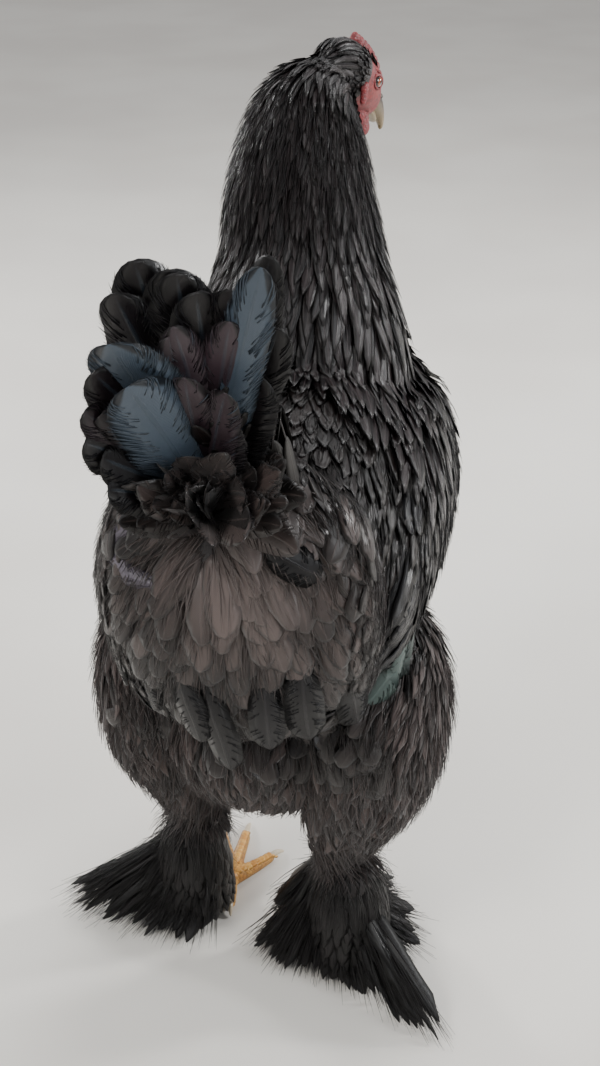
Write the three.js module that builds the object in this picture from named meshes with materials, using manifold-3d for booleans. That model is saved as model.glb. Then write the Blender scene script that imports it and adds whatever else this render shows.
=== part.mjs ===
// A standing brahma hen, life size, as a still model: millimetres, x to the hen's left,
// y towards the tail, z up, with the floor at z = 0 and the origin under the middle of the bird.
import * as THREE from "three";
import { mergeVertices } from "three/addons/utils/BufferGeometryUtils.js";
import Module from "manifold-3d";

const wasm = await Module();
wasm.setup();
const { Manifold, Mesh } = wasm;

// Driving sizes
const GAP = 0.4;
const BODY_LENGTH = 336;
const BODY_WIDTH = 206;
const BODY_HEIGHT = 216;
const BODY_MIDDLE = 322;
const BODY_X = -4;
const HEAD_TURN = THREE.MathUtils.degToRad(20);
const HEAD_DIP = THREE.MathUtils.degToRad(36);
const HEAD_AT = new THREE.Vector3(-12, -164, 570);
const HEAD_LENGTH = 64;
const HEAD_WIDTH = 37;
const HEAD_HEIGHT = 42;
const EYE_RADIUS = 4.6;
const WING_THICK = 10;
const ANKLE_HEIGHT = 15;
const HOCK_HEIGHT = 92;
const SHANK_RADIUS = 7.6;
const TOE_RADIUS = 5.4;
const SOLE = 0;
const ORIGIN_SHIFT = [-1.6, -0.6, 0];

const halfWidth = BODY_WIDTH / 2;
const halfHeight = BODY_HEIGHT / 2;
const backTop = BODY_MIDDLE + halfHeight;

const LEFT = new THREE.Vector3(1, 0, 0);
const BACK = new THREE.Vector3(0, 1, 0);
const UP = new THREE.Vector3(0, 0, 1);
// The right foot stands further back than the left. Each foot is [x, y] under its ankle.
const SIDES = [
  { name: "left", s: 1, foot: [38, 8], hock: [48, 26] },
  { name: "right", s: -1, foot: [-44, 34], hock: [-54, 48] },
];

const vec = (x, y, z) => new THREE.Vector3(x, y, z);
const mix = THREE.MathUtils.lerp;
const rad = THREE.MathUtils.degToRad;

// Numbers spread evenly from one value to another
const spread = (from, to, count) =>
  Array.from({ length: count }, (_, i) => mix(from, to, count > 1 ? i / (count - 1) : 0.5));

// Repeatable small variations between like feathers
function dice(seed) {
  let state = seed >>> 0;
  return (size = 1) => {
    state = (state * 1664525 + 1013904223) >>> 0;
    return size * (state / 2147483648 - 1);
  };
}

// Solids and meshes
function solidOf(geometry) {
  const bare = new THREE.BufferGeometry();
  bare.setAttribute("position", geometry.getAttribute("position"));
  bare.setIndex(geometry.getIndex());
  const merged = mergeVertices(bare, 1e-4);
  return new Manifold(
    new Mesh({
      numProp: 3,
      vertProperties: new Float32Array(merged.attributes.position.array),
      triVerts: new Uint32Array(merged.index.array),
    }),
  );
}

function pointsOf(solid) {
  const mesh = solid.getMesh();
  const points = [];
  for (let i = 0; i < mesh.numVert; i++) {
    const k = i * mesh.numProp;
    points.push(vec(...mesh.vertProperties.subarray(k, k + 3)));
  }
  return { points, triangles: Array.from(mesh.triVerts) };
}

function meshed(points, triangles) {
  const geometry = new THREE.BufferGeometry().setFromPoints(points);
  geometry.setIndex(triangles);
  return geometry;
}

// A closed mesh as a solid, with its faces turned to point outwards
function outward(points, triangles) {
  const volume = triangles.reduce((sum, a, i) => {
    if (i % 3) return sum;
    return sum + points[a].dot(points[triangles[i + 1]].clone().cross(points[triangles[i + 2]]));
  }, 0);
  return solidOf(meshed(points, volume < 0 ? triangles.reverse() : triangles));
}

// The same solid with every face moved outwards, for cutting its neighbours clear of it
function grown(solid, gap = GAP) {
  const { points, triangles } = pointsOf(solid);
  const around = points.map(() => []);
  for (let i = 0; i < triangles.length; i += 3) {
    const [a, b, c] = triangles.slice(i, i + 3);
    const face = points[b].clone().sub(points[a]).cross(points[c].clone().sub(points[a])).normalize();
    for (const k of [a, b, c]) around[k].push(face);
  }
  const moved = points.map((p, k) => {
    const away = around[k].reduce((sum, face) => sum.add(face), vec(0, 0, 0)).normalize();
    const least = Math.min(...around[k].map((face) => face.dot(away)));
    return p.clone().addScaledVector(away, gap / Math.max(least, 0.4));
  });
  return Manifold.union([solid, solidOf(meshed(moved, triangles))]);
}

function largest(solid) {
  const bodies = solid.decompose();
  return bodies.reduce((a, b) => (b.volume() > a.volume() ? b : a));
}

const fuse = (...solids) => largest(Manifold.union(solids.flat()));

const clearOf = (solid, ...others) =>
  largest(others.flat().reduce((rest, other) => rest.subtract(grown(other)), solid));

// Of each vane's tries, the first that keeps clear of the neighbours. A vane with none is left out.
function cleared(vanes, neighbours) {
  const margins = neighbours.flat().map((solid) => grown(solid, GAP));
  const isClear = (vane) => margins.every((margin) => vane.intersect(margin).isEmpty());
  return vanes.map((tries) => tries.find(isClear)).filter(Boolean);
}

// A rounded body along a smooth path. Each station is [x, y, z, half width, half depth].
// Its width runs along "across" and its ends are rounded over the shares given as "ends".
class Form {
  constructor(stations, { across = LEFT, ends = [0.2, 0.2] } = {}) {
    this.path = new THREE.CatmullRomCurve3(stations.map(([x, y, z]) => vec(x, y, z)));
    this.sizes = new THREE.CatmullRomCurve3(stations.map(([, , , w, d]) => vec(w, d, 0)));
    this.across = across;
    this.ends = ends;
  }

  roundedEnd(t) {
    const [head, tail] = this.ends;
    if (t < head) return Math.sqrt(Math.max(0, 1 - (1 - t / head) ** 2));
    if (t > 1 - tail) return Math.sqrt(Math.max(0, 1 - (1 - (1 - t) / tail) ** 2));
    return 1;
  }

  axes(t) {
    const along = this.path.getTangent(t);
    const side = this.across.clone().addScaledVector(along, -this.across.dot(along)).normalize();
    return { along, side, deep: along.clone().cross(side) };
  }

  at(t, angle) {
    const s = THREE.MathUtils.clamp(t, 0, 1);
    const { side, deep } = this.axes(s);
    const size = this.sizes.getPoint(s).multiplyScalar(this.roundedEnd(s));
    return this.path
      .getPoint(s)
      .addScaledVector(side, size.x * Math.cos(angle))
      .addScaledVector(deep, size.y * Math.sin(angle));
  }

  // The surface's point, outward normal and steps per unit of t and of angle
  skin(t, angle) {
    const d = 1e-3;
    const point = this.at(t, angle);
    const perT = this.at(t + d, angle).sub(this.at(t - d, angle)).divideScalar(2 * d);
    const perAngle = this.at(t, angle + d).sub(this.at(t, angle - d)).divideScalar(2 * d);
    return { point, out: perAngle.clone().cross(perT).normalize(), perT, perAngle };
  }

  // Where a point lies beside the form
  nearest(point) {
    const reach = spread(0.02, 0.98, 49).map((t) => {
      const away = Math.abs(point.clone().sub(this.path.getPoint(t)).dot(this.path.getTangent(t)));
      return { t, away };
    });
    const { t } = reach.reduce((a, b) => (b.away < a.away ? b : a));
    const { side, deep } = this.axes(t);
    const from = point.clone().sub(this.path.getPoint(t));
    const size = this.sizes.getPoint(t);
    return { t, angle: Math.atan2(from.dot(deep) / size.y, from.dot(side) / size.x) };
  }

  solid(rows, sides, { cap = 3, rings = null, raise = null } = {}) {
    const [head, tail] = this.ends;
    const rounding = spread(1 / cap, 1, cap).map((k) => 1 - Math.cos((k * Math.PI) / 2));
    const middle = rings ?? spread(head, 1 - tail, rows + 1).slice(1, -1);
    const steps = [...rounding.map((k) => head * k), ...middle, ...rounding.map((k) => 1 - tail * k).reverse()];
    const points = [this.path.getPoint(0)];
    steps.forEach((t, i) => {
      for (let j = 0; j < sides; j++) {
        const { point, out } = this.skin(t, (j / sides) * 2 * Math.PI);
        points.push(raise ? point.addScaledVector(out, raise(i - cap, (j / sides) * 2 * Math.PI)) : point);
      }
    });
    points.push(this.path.getPoint(1));
    const last = points.length - 1;
    const ring = (i, j) => 1 + i * sides + (j % sides);
    const triangles = [];
    for (let j = 0; j < sides; j++) {
      triangles.push(0, ring(0, j + 1), ring(0, j));
      for (let i = 0; i + 1 < steps.length; i++) {
        triangles.push(ring(i, j), ring(i, j + 1), ring(i + 1, j + 1));
        triangles.push(ring(i, j), ring(i + 1, j + 1), ring(i + 1, j));
      }
      triangles.push(last, ring(steps.length - 1, j), ring(steps.length - 1, j + 1));
    }
    return outward(points, triangles);
  }
}

// A pad that lies on a form: a grid over part of its surface, raised by "height" and sunk at the back.
// "mid" and "half" give the middle and half width of the pad, as angles, at a share u of its length.
class Pad {
  constructor(form, { from, to, mid, half, thick }) {
    Object.assign(this, { form, from, to, mid, half, thick });
  }

  swell(u, v) {
    const inside = u > 0 && u < 1 && Math.abs(v) < 1;
    return inside ? this.thick * Math.sqrt(1 - v * v) * Math.sqrt(Math.sin(Math.PI * mix(0.08, 0.92, u))) : 0;
  }

  // How far the pad stands above the form at a place on it
  heightAt(t, angle) {
    const u = (t - this.from) / (this.to - this.from);
    const turn = angle - this.mid(u);
    const v = Math.atan2(Math.sin(turn), Math.cos(turn)) / Math.abs(this.half(THREE.MathUtils.clamp(u, 0, 1)));
    return this.swell(u, v);
  }

  // The same height, but falling off gently past the pad's edge
  heightAbout(t, angle) {
    const u = (t - this.from) / (this.to - this.from);
    const turn = angle - this.mid(u);
    const v = Math.atan2(Math.sin(turn), Math.cos(turn)) / Math.abs(this.half(THREE.MathUtils.clamp(u, 0, 1)));
    const past = Math.hypot(Math.max(0, -u, u - 1) / 0.16, Math.max(0, Math.abs(v) - 1) / 0.5);
    const inside = [THREE.MathUtils.clamp(u, 0.02, 0.98), THREE.MathUtils.clamp(v, -0.8, 0.8)];
    return this.swell(...inside) * Math.max(0, 1 - past);
  }

  // The pad's place at u along it and v across it, from -1 at its lower angle to 1
  place(u, v) {
    return { t: mix(this.from, this.to, u), angle: this.mid(u) + v * this.half(u) };
  }

  skin(t, angle) {
    const { point, out, perT, perAngle } = this.form.skin(t, angle);
    return { point: point.addScaledVector(out, this.heightAt(t, angle)), out, perT, perAngle };
  }

  solid(rows, columns, depth = 7) {
    const points = [];
    for (const top of [true, false])
      for (const u of spread(0, 1, rows + 1))
        for (const v of spread(-1, 1, columns + 1)) {
          const { t, angle } = this.place(u, v);
          const { point, out } = this.form.skin(t, angle);
          points.push(point.addScaledVector(out, top ? 0.6 + this.swell(u, v) : -depth));
        }
    const across = columns + 1;
    const under = (rows + 1) * across;
    const triangles = [];
    const quad = (a, b, c, d) => triangles.push(a, b, c, a, c, d);
    for (let i = 0; i < rows; i++)
      for (let j = 0; j < columns; j++) {
        const k = i * across + j;
        quad(k, k + across, k + across + 1, k + 1);
        quad(under + k, under + k + 1, under + k + across + 1, under + k + across);
      }
    for (let j = 0; j < columns; j++) {
      const k = rows * across + j;
      quad(j, j + 1, under + j + 1, under + j);
      quad(k + 1, k, under + k, under + k + 1);
    }
    for (let i = 0; i < rows; i++) {
      const k = i * across;
      const m = k + columns;
      quad(k + across, k, under + k, under + k + across);
      quad(m, m + across, under + m + across, under + m);
    }
    return outward(points, triangles);
  }
}

// One feather vane through frames of { centre, out, cross, half, thick }, ending in a point.
// It is thickest on its shaft line, sharp at both edges, and split alike on both faces.
function blade(frames, tip, camber) {
  const points = [];
  for (const { centre, out, cross, half, thick } of frames) {
    const edge = centre.clone().addScaledVector(out, -camber * half);
    points.push(edge.clone().addScaledVector(cross, half));
    points.push(centre.clone().addScaledVector(out, thick / 2));
    points.push(edge.clone().addScaledVector(cross, -half));
    points.push(centre.clone().addScaledVector(out, -thick / 2));
  }
  points.push(tip);
  const triangles = [0, 2, 1, 0, 3, 2];
  for (let i = 0; i + 1 < frames.length; i++) {
    const [l, t, r, b] = [0, 1, 2, 3].map((k) => 4 * i + k);
    const [nl, nt, nr, nb] = [l + 4, t + 4, r + 4, b + 4];
    triangles.push(l, t, nl, nl, t, nt, t, r, nr, t, nr, nt);
    triangles.push(l, nl, b, nl, nb, b, b, nb, nr, b, nr, r);
  }
  const [l, t, r, b] = [4, 3, 2, 1].map((k) => 4 * frames.length - k);
  const end = 4 * frames.length;
  triangles.push(l, t, end, t, r, end, r, b, end, b, l, end);
  return outward(points, triangles);
}

// Shares of a vane's length and of its width at each of its rings
const POINTED = { along: [0, 0.4, 0.78], wide: [0.5, 1, 0.6] };
const ROUND = { along: [0, 0.42, 0.83], wide: [0.5, 1, 0.84] };
const taper = (thick, s) => thick * mix(1.2, 0.6, s);

// A vane that stands free of the body: its root, its direction and its upper face are given.
function freeVane(root, towards, face, how) {
  const { length, width, thick = 1.6, bend = 0, side = 0, camber = 0.12, sink = 8, shape = ROUND } = how;
  const dir = towards.clone().normalize();
  const out = face.clone().addScaledVector(dir, -face.dot(dir)).normalize();
  const cross = out.clone().cross(dir);
  const centreAt = (s) =>
    root
      .clone()
      .addScaledVector(dir, s * length - (s === 0 ? sink : 0))
      .addScaledVector(out, -bend * length * s * s)
      .addScaledVector(cross, side * length * s * s);
  const frames = shape.along.map((s, i) => {
    const slope = dir.clone().addScaledVector(out, -2 * bend * s).normalize();
    const turned = out.clone().addScaledVector(slope, -out.dot(slope)).normalize();
    return { centre: centreAt(s), out: turned, cross, half: (width / 2) * shape.wide[i], thick: taper(thick, s) };
  });
  return blade(frames, centreAt(1), camber);
}

// The line that a vane follows over a form, in short steps. It starts at (t, angle) and runs along the
// form, forwards or backwards, turned round it by "heading". Past the form's end, or where it meets
// the form it lies "over", it goes on by itself and slides over that one, at least "above" clear of it.
function trailOver(form, t, angle, { length, heading = 0, forwards = 1, over = null, above = null }) {
  const STEPS = 24;
  const SETTLE = 0.5;
  const step = length / STEPS;
  const trail = [];
  let here = { t, angle };
  let { point, out } = form.skin(t, angle);
  let dir = null;
  let held = true;
  // How far a point lacks the clearance over the other form, and the way out of it
  const lacking = (p) => {
    if (!over) return { lack: 0, out: UP };
    const spot = over.nearest(p);
    const skin = over.skin(spot.t, spot.angle);
    const height = p.clone().sub(skin.point).dot(skin.out);
    return { lack: above(spot.t, spot.angle) - height, out: skin.out };
  };
  for (let i = 0; i <= STEPS; i++) {
    held = held && here.t > 0.02 && here.t < 0.98;
    const skin = held ? form.skin(here.t, here.angle) : null;
    if (skin && i && over && lacking(skin.point).lack > 0) held = false;
    if (held) {
      ({ point, out } = skin);
      const ahead = skin.perT.clone().multiplyScalar(forwards).normalize();
      const round = ahead.clone().cross(out);
      dir = ahead.multiplyScalar(Math.cos(heading)).addScaledVector(round, Math.sin(heading)).normalize();
      here = {
        t: here.t + (step * dir.dot(skin.perT)) / skin.perT.lengthSq(),
        angle: here.angle + (step * dir.dot(skin.perAngle)) / skin.perAngle.lengthSq(),
      };
    } else {
      const last = trail[trail.length - 1];
      const next = last.point.clone().addScaledVector(last.dir, step);
      const spot = lacking(next);
      const settle = over && spot.lack < 0 ? Math.max(spot.lack, -SETTLE * step) : spot.lack;
      point = next.addScaledVector(spot.out, settle);
      out = over ? last.out.clone().lerp(spot.out, 0.4).normalize() : last.out;
      const ahead = point.clone().sub(last.point).normalize();
      dir = ahead.addScaledVector(out, -ahead.dot(out)).normalize();
    }
    trail.push({ point: point.clone(), dir: dir.clone(), out: out.clone() });
  }
  return (s) => trail[Math.round(STEPS * s)];
}

// A vane laid along a form, rising by "lift" towards its tip and tilted round its shaft by "tilt"
function laidVane(form, t, angle, how) {
  const { length, width, thick = 1.6, base = 0.8, lift = 4, tilt = 0, camber = 0.08, sink = 4, shape = ROUND } = how;
  const trail = trailOver(form, t, angle, how);
  const frameAt = (s, share) => {
    const { point, dir, out } = trail(s);
    const flat = out.clone().cross(dir).normalize();
    return {
      centre: point.clone().addScaledVector(out, s === 0 ? -sink : base + lift * s),
      out: out.clone().addScaledVector(dir, -lift / length).normalize(),
      cross: flat.multiplyScalar(Math.cos(tilt)).addScaledVector(out, Math.sin(tilt)),
      half: (width / 2) * share,
      thick: taper(thick, s),
    };
  };
  return blade(shape.along.map((s, i) => frameAt(s, shape.wide[i])), frameAt(1, 0).centre, camber);
}

// Rows of laid vanes. Each row is { t, from, to, count, length, width, ... }, with its angles in degrees,
// and every vane has a few tries with more lift, for getting clear of the neighbours.
function laidRows(form, rows, { seed, tries = [0, 3, 6] }) {
  const vary = dice(seed);
  return rows.flatMap((row) =>
    spread(row.from, row.to, row.count).map((degrees, i) => {
      const share = row.count > 1 ? (2 * i) / (row.count - 1) - 1 : 0;
      const t = row.t + vary(0.012);
      const how = {
        ...row,
        length: row.length * (1 + vary(0.07)),
        width: row.width * (1 + vary(0.06)),
        heading: rad((row.fan ?? 0) * share + vary(4)),
        tilt: rad((row.tilt ?? 7) + vary(2)),
      };
      return tries.map((more) => laidVane(form, t, rad(degrees), { ...how, lift: (row.lift ?? 4) + more }));
    }),
  );
}

// Materials
const finish = (color, roughness) => new THREE.MeshStandardMaterial({ color, roughness, metalness: 0 });
const plumage = finish(0x1d1a1c, 0.55);
const sheen = finish(0x22242b, 0.38);
const down = finish(0x3a3334, 0.85);
const redSkin = finish(0x9e2b2c, 0.6);
const yellowScale = finish(0xc9942f, 0.6);
const horn = finish(0x6b5a44, 0.4);
const eyeGloss = finish(0x3b1d10, 0.1);

// The bird
const hen = new THREE.Group();
hen.name = "brahma_hen";

function place(name, solid, material) {
  const { points, triangles } = pointsOf(solid);
  const mesh = new THREE.Mesh(meshed(points, triangles), material);
  mesh.name = name;
  hen.add(mesh);
  return solid;
}

// Torso. Angles round it run from the left side at 0 down to the belly at 90, and the back is at -90.
const torsoForm = new Form(
  [
    [BODY_X, -0.5 * BODY_LENGTH, BODY_MIDDLE + 6, halfWidth * 0.74, halfHeight * 0.76],
    [BODY_X, -0.3 * BODY_LENGTH, BODY_MIDDLE + 4, halfWidth * 0.96, halfHeight * 0.97],
    [BODY_X, -0.1 * BODY_LENGTH, BODY_MIDDLE, halfWidth, halfHeight],
    [BODY_X, 0.12 * BODY_LENGTH, BODY_MIDDLE, halfWidth * 0.97, halfHeight * 0.98],
    [BODY_X, 0.28 * BODY_LENGTH, BODY_MIDDLE - 2, halfWidth * 0.9, halfHeight * 0.92],
    [BODY_X, 0.41 * BODY_LENGTH, BODY_MIDDLE - 8, halfWidth * 0.68, halfHeight * 0.68],
  ],
  { ends: [0.22, 0.24] },
);
const torsoCore = torsoForm.solid(7, 20);
const onSide = (s, degrees) => (s > 0 ? rad(degrees) : Math.PI - rad(degrees));

// Folded wings, as pads on the torso's sides
const wingPads = SIDES.map(
  ({ s }) =>
    new Pad(torsoForm, {
      from: 0.16,
      to: 0.92,
      mid: (u) => onSide(s, mix(-26, 14, u)),
      half: (u) => s * rad(mix(34, 15, u * u)) * Math.sqrt(Math.sin(Math.PI * mix(0.16, 0.86, u))),
      thick: WING_THICK,
    }),
);

// Head, in its own directions
const headYaw = vec(-Math.sin(HEAD_TURN), -Math.cos(HEAD_TURN), 0);
const headForward = headYaw.clone().multiplyScalar(Math.cos(HEAD_DIP)).addScaledVector(UP, -Math.sin(HEAD_DIP));
const headLeft = UP.clone().cross(headYaw);
const headUp = headForward.clone().cross(headLeft);
const onHead = (forward, left, up) =>
  HEAD_AT.clone()
    .addScaledVector(headForward, forward)
    .addScaledVector(headLeft, left)
    .addScaledVector(headUp, up);
const headStation = ([forward, up, w, d]) => [...onHead(forward, 0, up).toArray(), w, d];
const headShape = (stations, ends) => new Form(stations.map(headStation), { across: headLeft, ends });

const headForm = headShape(
  [
    [-0.5 * HEAD_LENGTH, -3, HEAD_WIDTH * 0.42, HEAD_HEIGHT * 0.42],
    [-0.2 * HEAD_LENGTH, 0, HEAD_WIDTH * 0.49, HEAD_HEIGHT * 0.5],
    [0.12 * HEAD_LENGTH, 0, HEAD_WIDTH * 0.47, HEAD_HEIGHT * 0.46],
    [0.36 * HEAD_LENGTH, -2, HEAD_WIDTH * 0.33, HEAD_HEIGHT * 0.36],
    [0.5 * HEAD_LENGTH, -3, HEAD_WIDTH * 0.24, HEAD_HEIGHT * 0.26],
  ],
  [0.26, 0.14],
);
const beakUpperForm = headShape(
  [
    [20, 1, 8.2, 8.4],
    [33, 0.5, 7.2, 6.6],
    [45, -2, 4.8, 4.6],
    [54, -6.5, 2.4, 2.8],
    [57, -11, 1.2, 1.4],
  ],
  [0.1, 0.1],
);
const beakLowerForm = headShape(
  [
    [20, -8.5, 6.6, 4.2],
    [33, -8.2, 5.6, 3.6],
    [46, -9.4, 2.4, 1.8],
  ],
  [0.1, 0.2],
);

// A ball in the head's directions, stretched along them
function bulb([forward, left, up], radius, stretch = [1, 1, 1], wide = 8, high = 4) {
  const geometry = new THREE.SphereGeometry(radius, wide, high);
  const turn = new THREE.Matrix4().makeBasis(headForward, headLeft, headUp);
  geometry.scale(...stretch).applyMatrix4(turn.setPosition(onHead(forward, left, up)));
  return solidOf(geometry);
}

// The lids are a ring round each eye, under a heavy brow
const eyePlace = (s) => [5, s * (HEAD_WIDTH / 2 - 3.4), 3];
function lids(s) {
  const ring = new THREE.TorusGeometry(EYE_RADIUS + 0.9, 1.5, 4, 10);
  const turn = new THREE.Matrix4().makeBasis(headForward, headUp, headLeft.clone().multiplyScalar(-1));
  const [forward, left, up] = eyePlace(s);
  ring.scale(1.08, 0.94, 1).applyMatrix4(turn.setPosition(onHead(forward, left + s * 2.2, up)));
  return solidOf(ring);
}
const brow = (s) => bulb([4, s * (HEAD_WIDTH / 2 - 4.4), 9.6], 4, [2.4, 0.9, 0.8], 7, 4);

const eyes = SIDES.map(({ s }) => bulb(eyePlace(s), EYE_RADIUS, [1, 1, 1], 10, 6));
const headCore = fuse(headForm.solid(4, 14), ...SIDES.flatMap(({ s }) => [lids(s), brow(s)]));
const head = place("head", clearOf(headCore, eyes), redSkin);
SIDES.forEach(({ name }, i) => place(`eye_${name}`, eyes[i], eyeGloss));

// Beak, with a nostril on each side of its base and the mouth line between its halves
const nostrils = SIDES.map(({ s }) => bulb([36, s * 6.6, 3.2], 1.5, [1.9, 1, 0.8], 6, 4));
const beakSolid = beakUpperForm.solid(4, 10, { cap: 2 });
const beakUpper = place("beak_upper", clearOf(Manifold.difference([beakSolid, ...nostrils]), head), horn);
const beakLower = place("beak_lower", clearOf(beakLowerForm.solid(3, 8, { cap: 2 }), head, beakUpper), horn);

// Lobes and wattles hang straight down, as folds of skin
const lobes = SIDES.map(({ name, s }) => {
  const lobe = bulb([-7, s * (HEAD_WIDTH / 2 - 0.5), -11], 4.6, [0.9, 0.6, 1.7]);
  return place(`earlobe_${name}`, clearOf(lobe, head), redSkin);
});
const wattles = SIDES.map(({ name, s }) => {
  const fold = [0, 1].map((k) => bulb([18 + 6.4 * k, s * (6.6 + 0.6 * k), -15.6 - 5 * k], 6.6 - 0.7 * k, [1, 0.42, 1.15], 7, 4));
  return place(`wattle_${name}`, clearOf(fuse(fold), head, beakUpper, beakLower), redSkin);
});

// Pea comb: three low rows of bumps from the beak's base back over the crown
const COMB_ROWS = [
  { left: 0, count: 5, radius: 4.9, height: 5.2 },
  { left: 5.2, count: 3, radius: 3.8, height: 2 },
  { left: -5.2, count: 3, radius: 3.8, height: 2 },
];
const combBumps = COMB_ROWS.flatMap(({ left, count, radius, height }) =>
  spread(26, -6, count).map((forward, k) => {
    const swell = 0.82 + 0.3 * Math.sin((Math.PI * (k + 0.5)) / count);
    const spot = headForm.nearest(onHead(forward, 0, 60));
    const crown = headForm.at(spot.t, spot.angle).sub(HEAD_AT).dot(headUp);
    const up = crown - Math.abs(left) * 0.32 + height * swell * 0.55;
    return bulb([forward, left, up], radius * swell, [1.2, 0.8, 1.15], 6, 4);
  }),
);
place("comb", clearOf(fuse(combBumps), head, beakUpper), redSkin);

// Neck, under its hackle: pointed feathers in tiers from the head down, the last ones over the shoulders
const neckForm = new Form(
  [
    [0, -50, backTop - 56, 76, 60],
    [2, -76, backTop - 10, 70, 64],
    [6, -99, backTop + 34, 57, 55],
    [8, -116, backTop + 78, 46, 46],
    [5, -131, backTop + 118, 37, 37],
    [-4, -142, backTop + 152, 27, 29],
  ],
  { ends: [0.12, 0.18] },
);
const shoulderHeight = (t, angle) =>
  3.4 + 1.4 * Math.max(...wingPads.map((pad) => pad.heightAbout(t, angle)));
const hackle = laidRows(
  neckForm,
  [
    { t: 0.92, from: 0, to: 324, count: 8, length: 68, width: 34 },
    { t: 0.76, from: 16, to: 343, count: 8, length: 80, width: 44 },
    { t: 0.58, from: 0, to: 328, count: 9, length: 92, width: 47 },
    { t: 0.4, from: 14, to: 344, count: 9, length: 90, width: 54 },
  ].map((row) => ({ ...row, forwards: -1, lift: 6, shape: POINTED, over: torsoForm, above: shoulderHeight })),
  { seed: 11 },
);
const neckCore = clearOf(neckForm.solid(4, 14), torsoCore, head, lobes, wattles, eyes);
const neck = place("neck", fuse(neckCore, cleared(hackle, [torsoCore, head, lobes, wattles])), plumage);

// Cushion: the broad feathers that fall over the rump from the root of the tail
const rumpForm = new Form(
  [
    [-2, 92, 424, 42, 24],
    [-3, 102, 384, 76, 46],
    [-4, 106, 332, 86, 55],
    [-5, 98, 278, 78, 50],
    [-6, 90, 250, 54, 38],
  ],
  { ends: [0.22, 0.2] },
);
const rumpCore = clearOf(rumpForm.solid(4, 14), torsoCore);
const cushion = laidRows(
  rumpForm,
  [
    { t: 0.1, from: -160, to: -20, count: 5, length: 62, width: 42 },
    { t: 0.27, from: -180, to: 0, count: 5, length: 64, width: 54 },
    { t: 0.45, from: -168, to: -12, count: 5, length: 66, width: 54 },
    { t: 0.62, from: -180, to: 0, count: 5, length: 64, width: 52 },
  ].map((row) => ({ ...row, lift: 5, fan: -6 })),
  { seed: 23 },
);
const rump = place("cushion", fuse(rumpCore, cleared(cushion, [torsoCore])), plumage);

// Wings: scale-like coverts at the shoulder, longer coverts behind them, then the folded flight feathers
const wings = SIDES.map(({ name, s }, side) => {
  const pad = wingPads[side];
  const core = clearOf(pad.solid(6, 5), torsoCore, neck, rump);
  const vary = dice(31 + side);
  const rows = [
    { u: 0.06, from: -0.7, to: 0.6, count: 3, length: 46, width: 36, lift: 4 },
    { u: 0.2, from: -0.8, to: 0.75, count: 3, length: 50, width: 44, lift: 4 },
    { u: 0.34, from: -0.85, to: 0.7, count: 3, length: 58, width: 46, lift: 4.4 },
    { u: 0.48, from: -0.8, to: 0.8, count: 4, length: 78, width: 34, lift: 5 },
    { u: 0.64, from: -0.7, to: 0.85, count: 4, length: 90, width: 32, lift: 6 },
  ];
  const vanes = rows.flatMap((row) =>
    spread(row.from, row.to, row.count).map((v) => {
      const { t, angle } = pad.place(row.u + vary(0.01), v);
      const how = { ...row, heading: s * rad(3 + 3 * v + vary(2)), tilt: -s * rad(7 + vary(2)), sink: 3 };
      how.length *= 1 + vary(0.06);
      return [0, 2.5, 5].map((more) => laidVane(pad, t, angle, { ...how, lift: row.lift + more }));
    }),
  );
  return place(`wing_${name}`, fuse(core, cleared(vanes, [torsoCore, neck, rump])), sheen);
});

// Tail: a short fleshy root, two fans of broad feathers that lean together, and their coverts
const tailRootForm = new Form(
  [
    [0, 102, 402, 28, 16],
    [3, 122, 430, 31, 15],
    [5, 136, 456, 22, 9],
  ],
  { ends: [0.16, 0.3] },
);
const aim = (azimuth, elevation) =>
  vec(
    Math.cos(rad(elevation)) * Math.sin(rad(azimuth)),
    Math.cos(rad(elevation)) * Math.cos(rad(azimuth)),
    Math.sin(rad(elevation)),
  );
// Tail feathers spread over a range of aims. Their lengths are measured from the root of the tail.
const TAIL_ROOT = vec(5, 118, 408);
const TAIL_START = 24;
const TAIL_FANS = [
  { azimuth: [13, 30], elevation: [67, 36], length: [164, 126], width: 41, count: 5, lean: 0.45, behind: 0 },
  { azimuth: [-26, -58], elevation: [68, 64], length: [166, 156], width: 36, count: 4, lean: -0.4, behind: 0 },
  { azimuth: [2, 18], elevation: [57, 42], length: [122, 106], width: 48, count: 2, lean: 0.25, behind: 9 },
  { azimuth: [-20, -48], elevation: [60, 57], length: [112, 102], width: 41, count: 2, lean: -0.25, behind: 9 },
  { azimuth: [32, -40], elevation: [38, 50], length: [80, 70], width: 44, count: 3, lean: 0, behind: 17 },
];
function tailFan({ azimuth, elevation, length, width, count, lean, behind }, seed) {
  const vary = dice(seed);
  return spread(0, 1, count).map((k) => {
    const face = vec(lean * (0.4 + k), 1, 0.2);
    const reach = mix(...length, k) * (1 + vary(0.03));
    const how = { length: reach - TAIL_START, width: width * (1 + vary(0.05)), thick: 1.8, sink: 12, bend: 0.05 };
    const turn = mix(...azimuth, Math.sqrt(k)) + vary(1.5);
    return [0, 2, 4].map((more) => {
      const towards = aim(turn, mix(...elevation, k) + more);
      const root = TAIL_ROOT.clone().addScaledVector(towards, TAIL_START).addScaledVector(BACK, behind);
      return freeVane(root, towards, face, how);
    });
  });
}
const tailCore = clearOf(tailRootForm.solid(4, 14), torsoCore, rump);
const tailVanes = TAIL_FANS.flatMap((fan, i) => tailFan(fan, 41 + i));
const tail = place("tail", fuse(tailCore, cleared(tailVanes, [torsoCore, rump])), sheen);

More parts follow.
